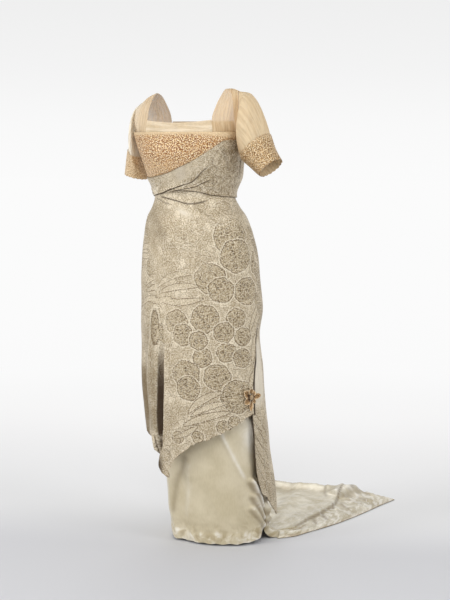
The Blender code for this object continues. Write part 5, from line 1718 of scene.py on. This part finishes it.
def train_height(x, y):
    """How high the long soft folds stand off the floor: a hump across each one's line."""
    raised = np.zeros(np.shape(x))
    for from_x, from_y, to_x, to_y, rise, half_width in TRAIN_FOLDS:
        run_x, run_y = to_x - from_x, to_y - from_y
        length = math.hypot(run_x, run_y)
        way = ((x - from_x) * run_x + (y - from_y) * run_y) / length**2
        off = ((x - from_x) * run_y - (y - from_y) * run_x) / length
        hump = rise * bell(off, half_width) * ease(way, -0.2, 0.25)
        raised = raised + hump * (1 - 0.7 * ease(way, 0.6, 1))
    return raised


print("creases on the train:", len(TRAIN_CREASES))


# %% Train
TRAIN_END_X, TRAIN_HALF_WIDTH, TRAIN_END_Y = 0.036, 0.338, 0.82
TRAIN_CORNER_BACK, TRAIN_SIDE_BULGE = 0.05, 0.026
CORNER_BULGE, CORNER_FORWARD = 0.046, 0.026
# where across the cloth, height and half width
SIDE_PLEATS = ((0.92, 0.016, 0.034), (0.845, 0.01, 0.022), (0.78, 0.0085, 0.02))


def train_grid(across, body_rows, bend_rows, floor_rows):
    """The satin back and train. Rows: down the form, round the bend, over the floor. Gives the points, the
    metres up the cloth, the folds' shade and how far the side's folds stand out."""
    angle, side = 180 - (180 - SIDE_SEAM_AT) * across, np.abs(across)
    bend_height = 0.15 - 0.1 * side**2
    bend_run = 0.115 - 0.075 * side**2
    floor_level = SATIN + 0.0006
    start = on_form(SHEATH, angle, bend_height, SATIN_OUT + SATIN)
    end = np.stack([TRAIN_END_X + TRAIN_HALF_WIDTH * across, TRAIN_END_Y - TRAIN_CORNER_BACK * side**3], 1)
    run = end - start[:, :2]
    length = np.linalg.norm(run, axis=1)
    way = run / length[:, None]
    top = WAIST_SEAM - SEAM / 2
    share = np.linspace(0, 1, body_rows + 1)[:-1, None]
    height = top + (bend_height - top) * share
    moved, shade_body = folds(plan(angle)[None] * np.ones_like(height), height, BUNDLE_FOLDS)
    pleats = sum(rise * bell(across - at, wide) for at, rise, wide in SIDE_PLEATS)
    grooves = sum(0.8 * bell(across - at + 1.4 * wide, 0.5 * wide) for at, rise, wide in SIDE_PLEATS)
    puff = upright(SIDE_PUFF, angle[None, :], height) * ease(across, 0.6, 0.9)
    body_out = moved + puff + pleats * ease(height, 0.26, 0.12)
    body = on_form(SHEATH, angle[None, :], height, SATIN_OUT + SATIN + body_out)
    turn = np.radians(np.linspace(0, 90, bend_rows + 1)[:-1, None])
    forward = bend_run * (1 - np.cos(turn))
    bend_at = floor_level + (bend_height - floor_level) * (1 - np.sin(turn))
    fade = ease(bend_at, 0.01, 0.03)
    bend_moved, shade_bend = folds(plan(angle)[None] * np.ones_like(bend_at), bend_at, BUNDLE_FOLDS)
    bend_moved = bend_moved * fade + puff[-1:] + pleats
    outwards = on_form(SHEATH, angle, bend_height, 0.01)[:, :2]
    outwards = outwards - on_form(SHEATH, angle, bend_height, 0.0)[:, :2]
    bend = start[None, :, :2] + way[None] * forward[..., None]
    bend = bend + outwards[None] * (bend_moved * (1 - 0.8 * np.sin(turn)))[..., None] / 0.01
    spread = np.maximum(across, 0) ** 3
    bend[..., 0] += 0.4 * CORNER_BULGE * spread * (1 - np.cos(turn))
    bend = np.concatenate([bend, (bend_at + pleats * np.sin(turn))[..., None]], -1)
    share = np.linspace(0, 1, floor_rows)[:, None] ** 1.25
    forward = bend_run + (length - bend_run) * share
    flat = start[None, :, :2] + way[None] * forward[..., None]
    flat[..., 0] += TRAIN_SIDE_BULGE * across * np.sin(math.pi * share)
    bulge = CORNER_BULGE * spread * (0.4 + 0.6 * ease(share, 0, 0.1))
    flat[..., 0] += bulge * (1 - ease(share, 0.08, 0.95))
    flat[..., 1] -= CORNER_FORWARD * spread**2 * ease(share, 0, 0.03) * (1 - ease(share, 0.02, 0.2))
    x, y = flat[..., 0], flat[..., 1]
    crease, shade_floor = folds(x, y, TRAIN_CREASES)
    # painted shadow along the train's near edge, where it lies on the floor
    shade_floor = np.maximum(shade_floor, 0.75 * ease(across, 0.983, 0.995))
    small = np.maximum(rumple(x, y, 0.13, 0.002), -0.001)
    small = small + 0.0006 * np.sin(x * FULL_TURN / 0.021 + 3 * np.sin(y * 23)) * ease(share, 0.86, 1)
    hem = 0.001 * np.sin(across * 60 + 2 * np.sin(across * 19))
    raised = (train_height(x, y) + crease + small + 0.0026) * ease(share, 0, 0.16)
    ahead = 1 - ease(share, 0.02, 0.22)
    raised = raised + pleats * ahead
    raised = np.maximum(raised, 0) * (1 - side**20) + np.maximum(hem, 0) * share**8
    ground = np.concatenate([flat, (floor_level + raised)[..., None]], -1)
    points = np.concatenate([body, bend, ground])
    shade = np.concatenate([shade_body, shade_bend * fade, shade_floor * ease(share, 0, 0.1)])
    grooved = [grooves * ease(height, 0.18, 0.1), grooves * np.ones_like(turn), grooves * ahead]
    shade = np.maximum(shade, np.concatenate(grooved))
    lifted_body = (moved + pleats * ease(height, 0.26, 0.12)) / 0.016
    lifted_floor = crease / 0.034 + pleats * ahead / 0.014
    lifted = np.concatenate([lifted_body, bend_moved / 0.017, lifted_floor])
    step = np.linalg.norm(np.diff(points, axis=0), axis=-1)
    down = np.concatenate([np.zeros((1, len(across))), np.cumsum(step, axis=0)])
    return points, top - down, shade, lifted


def build_train():
    """The satin back in one with the train."""
    seam = SIDE_SEAM_ANGLE / (180 - SIDE_SEAM_AT)
    across = np.linspace(-1 + seam, 1 - seam, 150)[::-1]
    points, up, shade, lifted = train_grid(across, 130, 26, 140)
    points, up, shade, lifted = points[::-1], up[::-1], shade[::-1], lifted[::-1]
    # gathered: painted shade over the gathered corner by the side seam
    gathered = ease(across[None], 0.66, 0.8) * (0.16 + 0.84 * ease(up, -0.22, -0.08))
    far_roll_shade = ease(points[..., 1], 0.66, 0.73) * ease(points[..., 0], 0.22, 0.1)
    # tone: lighter where the satin lies on the floor, painted shade at the gathered corner, painted
    # highlights on raised folds
    tone = 0.2 * ease(points[..., 2], 0.06, 0.01) - 0.52 * gathered + 0.72 * np.clip(lifted, 0, 1) ** 2
    # painted shade on the far roll's near slope, which dulls its highlight
    tone = tone - 0.44 * far_roll_shade
    near_side = ease(points[..., 0], 0.19, 0.25) + 0.4 * ease(across[None], 0.7, 0.85)
    crumple_and_sheen = ease(points[..., 2], 0.16, 0.06) * np.clip(0.3 + 0.7 * near_side, 0, 1)
    fields = {"shade": shade, "tone": tone, "crumple_and_sheen": crumple_and_sheen}
    name, node, uv = "skirt_back_train_cloth", "underskirt_back_train", (across[None, ::-1] * 0.3, up)
    return cloth(name, points, 0.0011, SATIN_TRAIN, uv, node, fields)


skirt_back = build_train()

# %% [markdown]
# ## The rosette
#
# A small flower of gilt ribbon closes the tunic at the left knee. Each petal is a loop of ribbon, made here
# as a cupped leaf with raised edges and a crease down its middle. The button in the middle is wound with
# thread.

# %% Rosette
ROSETTE_ANGLE, ROSETTE_HEIGHT = 69.6, 0.464
PETAL_LENGTHS = (0.03, 0.017, 0.022, 0.033, 0.027, 0.035, 0.018)
PETAL_TURNS = (0.1, 0.95, 1.8, 2.62, 3.66, 4.55, 5.42)
PETAL_WIDTHS = (0.0095, 0.008, 0.0105, 0.0125, 0.0115, 0.0085, 0.007)


def rosette_frame():
    """The rosette's middle on the tunic, and its outward, sideways and upward directions."""
    out = FRONT_OUT + BROCADE_WALL + float(tunic_front_relief(ROSETTE_ANGLE, ROSETTE_HEIGHT))
    middle = on_form(BODY, ROSETTE_ANGLE, ROSETTE_HEIGHT, out)
    outwards = on_form(BODY, ROSETTE_ANGLE, ROSETTE_HEIGHT, out + 0.01) - middle
    outwards /= np.linalg.norm(outwards)
    upwards = np.array([0.0, 0.0, 1.0])
    return middle, outwards, np.cross(upwards, outwards), upwards


def build_petal(number, turn, length, width):
    """One loop of ribbon: half width times the root of a sine along it, cupped at its edges, with a crease
    in its middle."""
    middle, outwards, sideways, upwards = rosette_frame()
    tip = sideways * math.cos(turn) + upwards * math.sin(turn)
    beside_it = np.cross(outwards, tip)
    t = np.linspace(0.02, 0.98, 21)[:, None]
    s = np.linspace(-1, 1, 19)[None, :]
    half = width * np.sin(math.pi * t) ** 0.55
    far = 0.0058 + length * t
    cup = 0.004 * s**2 * np.sin(math.pi * t) - 0.001 * bell(s, 0.2)
    curl = 0.0044 * t**2 + 0.0014 * np.sin(9 * s + 5 * turn) * t
    high = 0.0018 + cup + curl * (1.0 + 0.6 * math.sin(2.3 * number))
    grid = middle + far[..., None] * tip + (half * s)[..., None] * beside_it + high[..., None] * outwards
    # painted shade at the petal's base and along its middle crease, painted highlights on its edges and tip
    shade = np.clip(0.95 * bell(t, 0.26) + 0.75 * bell(s, 0.24) * (1 - t), 0, 1)
    tone = np.clip(0.85 * bell(np.abs(s) - 1, 0.22) + 0.6 * bell(t - 1, 0.12), 0, 1) * (1 - shade)
    uv = ((half * s)[:, ::-1], far)
    node = f"rosette_petal_{number}"
    fields = {"shade": shade[:, ::-1], "tone": tone[:, ::-1]}
    return cloth(node + "_ribbon", grid[:, ::-1], 0.0006, GILT, uv, node, fields)


petals = [build_petal(k + 1, *row) for k, row in enumerate(zip(PETAL_TURNS, PETAL_LENGTHS, PETAL_WIDTHS))]


# %% Rosette button
def build_button():
    """A domed button: rings that grow as the sine of the turn and sink as its cosine, with wound ribs."""
    middle, outwards, sideways, upwards = rosette_frame()
    rings, columns = 26, 48
    turn = np.linspace(0.0, math.pi, rings)[:, None]
    round_it = np.linspace(0, 2 * math.pi, columns, endpoint=False)[None, :]
    rib = 1 + 0.06 * np.sin(9 * round_it + 6 * turn)
    wide = 0.0072 * np.sin(turn) * rib
    high = 0.0042 + 0.004 * np.cos(turn)
    ring = (wide * np.cos(round_it))[..., None] * sideways + (wide * np.sin(round_it))[..., None] * upwards
    points = worn(middle + ring + high[..., None] * outwards)
    points = np.concatenate([points[1:-1].reshape(-1, 3), points[[0, -1], 0]])
    top, bottom = len(points) - 2, len(points) - 1
    number = np.arange(top).reshape(rings - 2, columns)
    number = np.concatenate([number, number[:, :1]], 1)
    faces = np.stack([number[:-1, :-1], number[1:, :-1], number[1:, 1:], number[:-1, 1:]], -1)
    faces = faces.reshape(-1, 4).tolist()
    faces += [(top, int(a), int(b)) for a, b in zip(number[0, :-1], number[0, 1:])]
    faces += [(bottom, int(b), int(a)) for a, b in zip(number[-1, :-1], number[-1, 1:])]
    place = points[[corner for face in faces for corner in face]]
    corner_map = np.stack([place[:, 0] + place[:, 1], place[:, 2]], 1)
    fields = {"shade": np.full(len(points), 0.25), "tone": np.full(len(points), 0.35)}
    return dressed_piece("rosette_button", points, faces, corner_map, fields, GILT, "rosette_centre")


build_button()
print("petals:", len(petals))

# %% [markdown]
# ## The cut of each piece
#
# A dressmaker knows each piece by the flat size it was cut to. The table states it for what shows: across
# and long in metres, and the flat area where the cut isn't a rectangle.

# %% Flat sizes
CUTS = (
    (bodice_front, 0.47, 0.2, 0.083, "stretched"),
    (bodice_back, 0.42, 0.21, 0.078, "stretched"),
    (edging_front, 0.22, 0.045, 0.0066, "gathered"),
    (edging_back, 0.2, 0.04, 0.0055, "gathered"),
    (band_left, 0.11, 0.27, 0.0215, "folded"),
    (band_right, 0.12, 0.27, 0.027, "folded"),
    (sleeve_left, 0.5, 0.2, 0.07, "gathered"),
    (sleeve_right, 0.45, 0.22, 0.052, "gathered"),
    (cuff_left, 0.36, 0.085, 0.026, "hung"),
    (cuff_right, 0.32, 0.085, 0.022, "hung"),
    (wrap_front, 0.5, 0.19, 0.046, "draped"),
    (wrap_back, 0.44, 0.15, 0.046, "draped"),
    (tunic_front, 0.52, 0.88, 0.255, "hung"),
    (tunic_back, 0.96, 1.00, 0.69, "hung"),
    (skirt_front, 0.56, 1.08, 0.49, "hung"),
    (skirt_back, 0.76, 1.85, 0.85, "draped"),
)
for piece, wide, long, area, held in CUTS:
    print(piece.name, "cloth", round(CLOTH_AREA[piece.name], 4), "flat", area)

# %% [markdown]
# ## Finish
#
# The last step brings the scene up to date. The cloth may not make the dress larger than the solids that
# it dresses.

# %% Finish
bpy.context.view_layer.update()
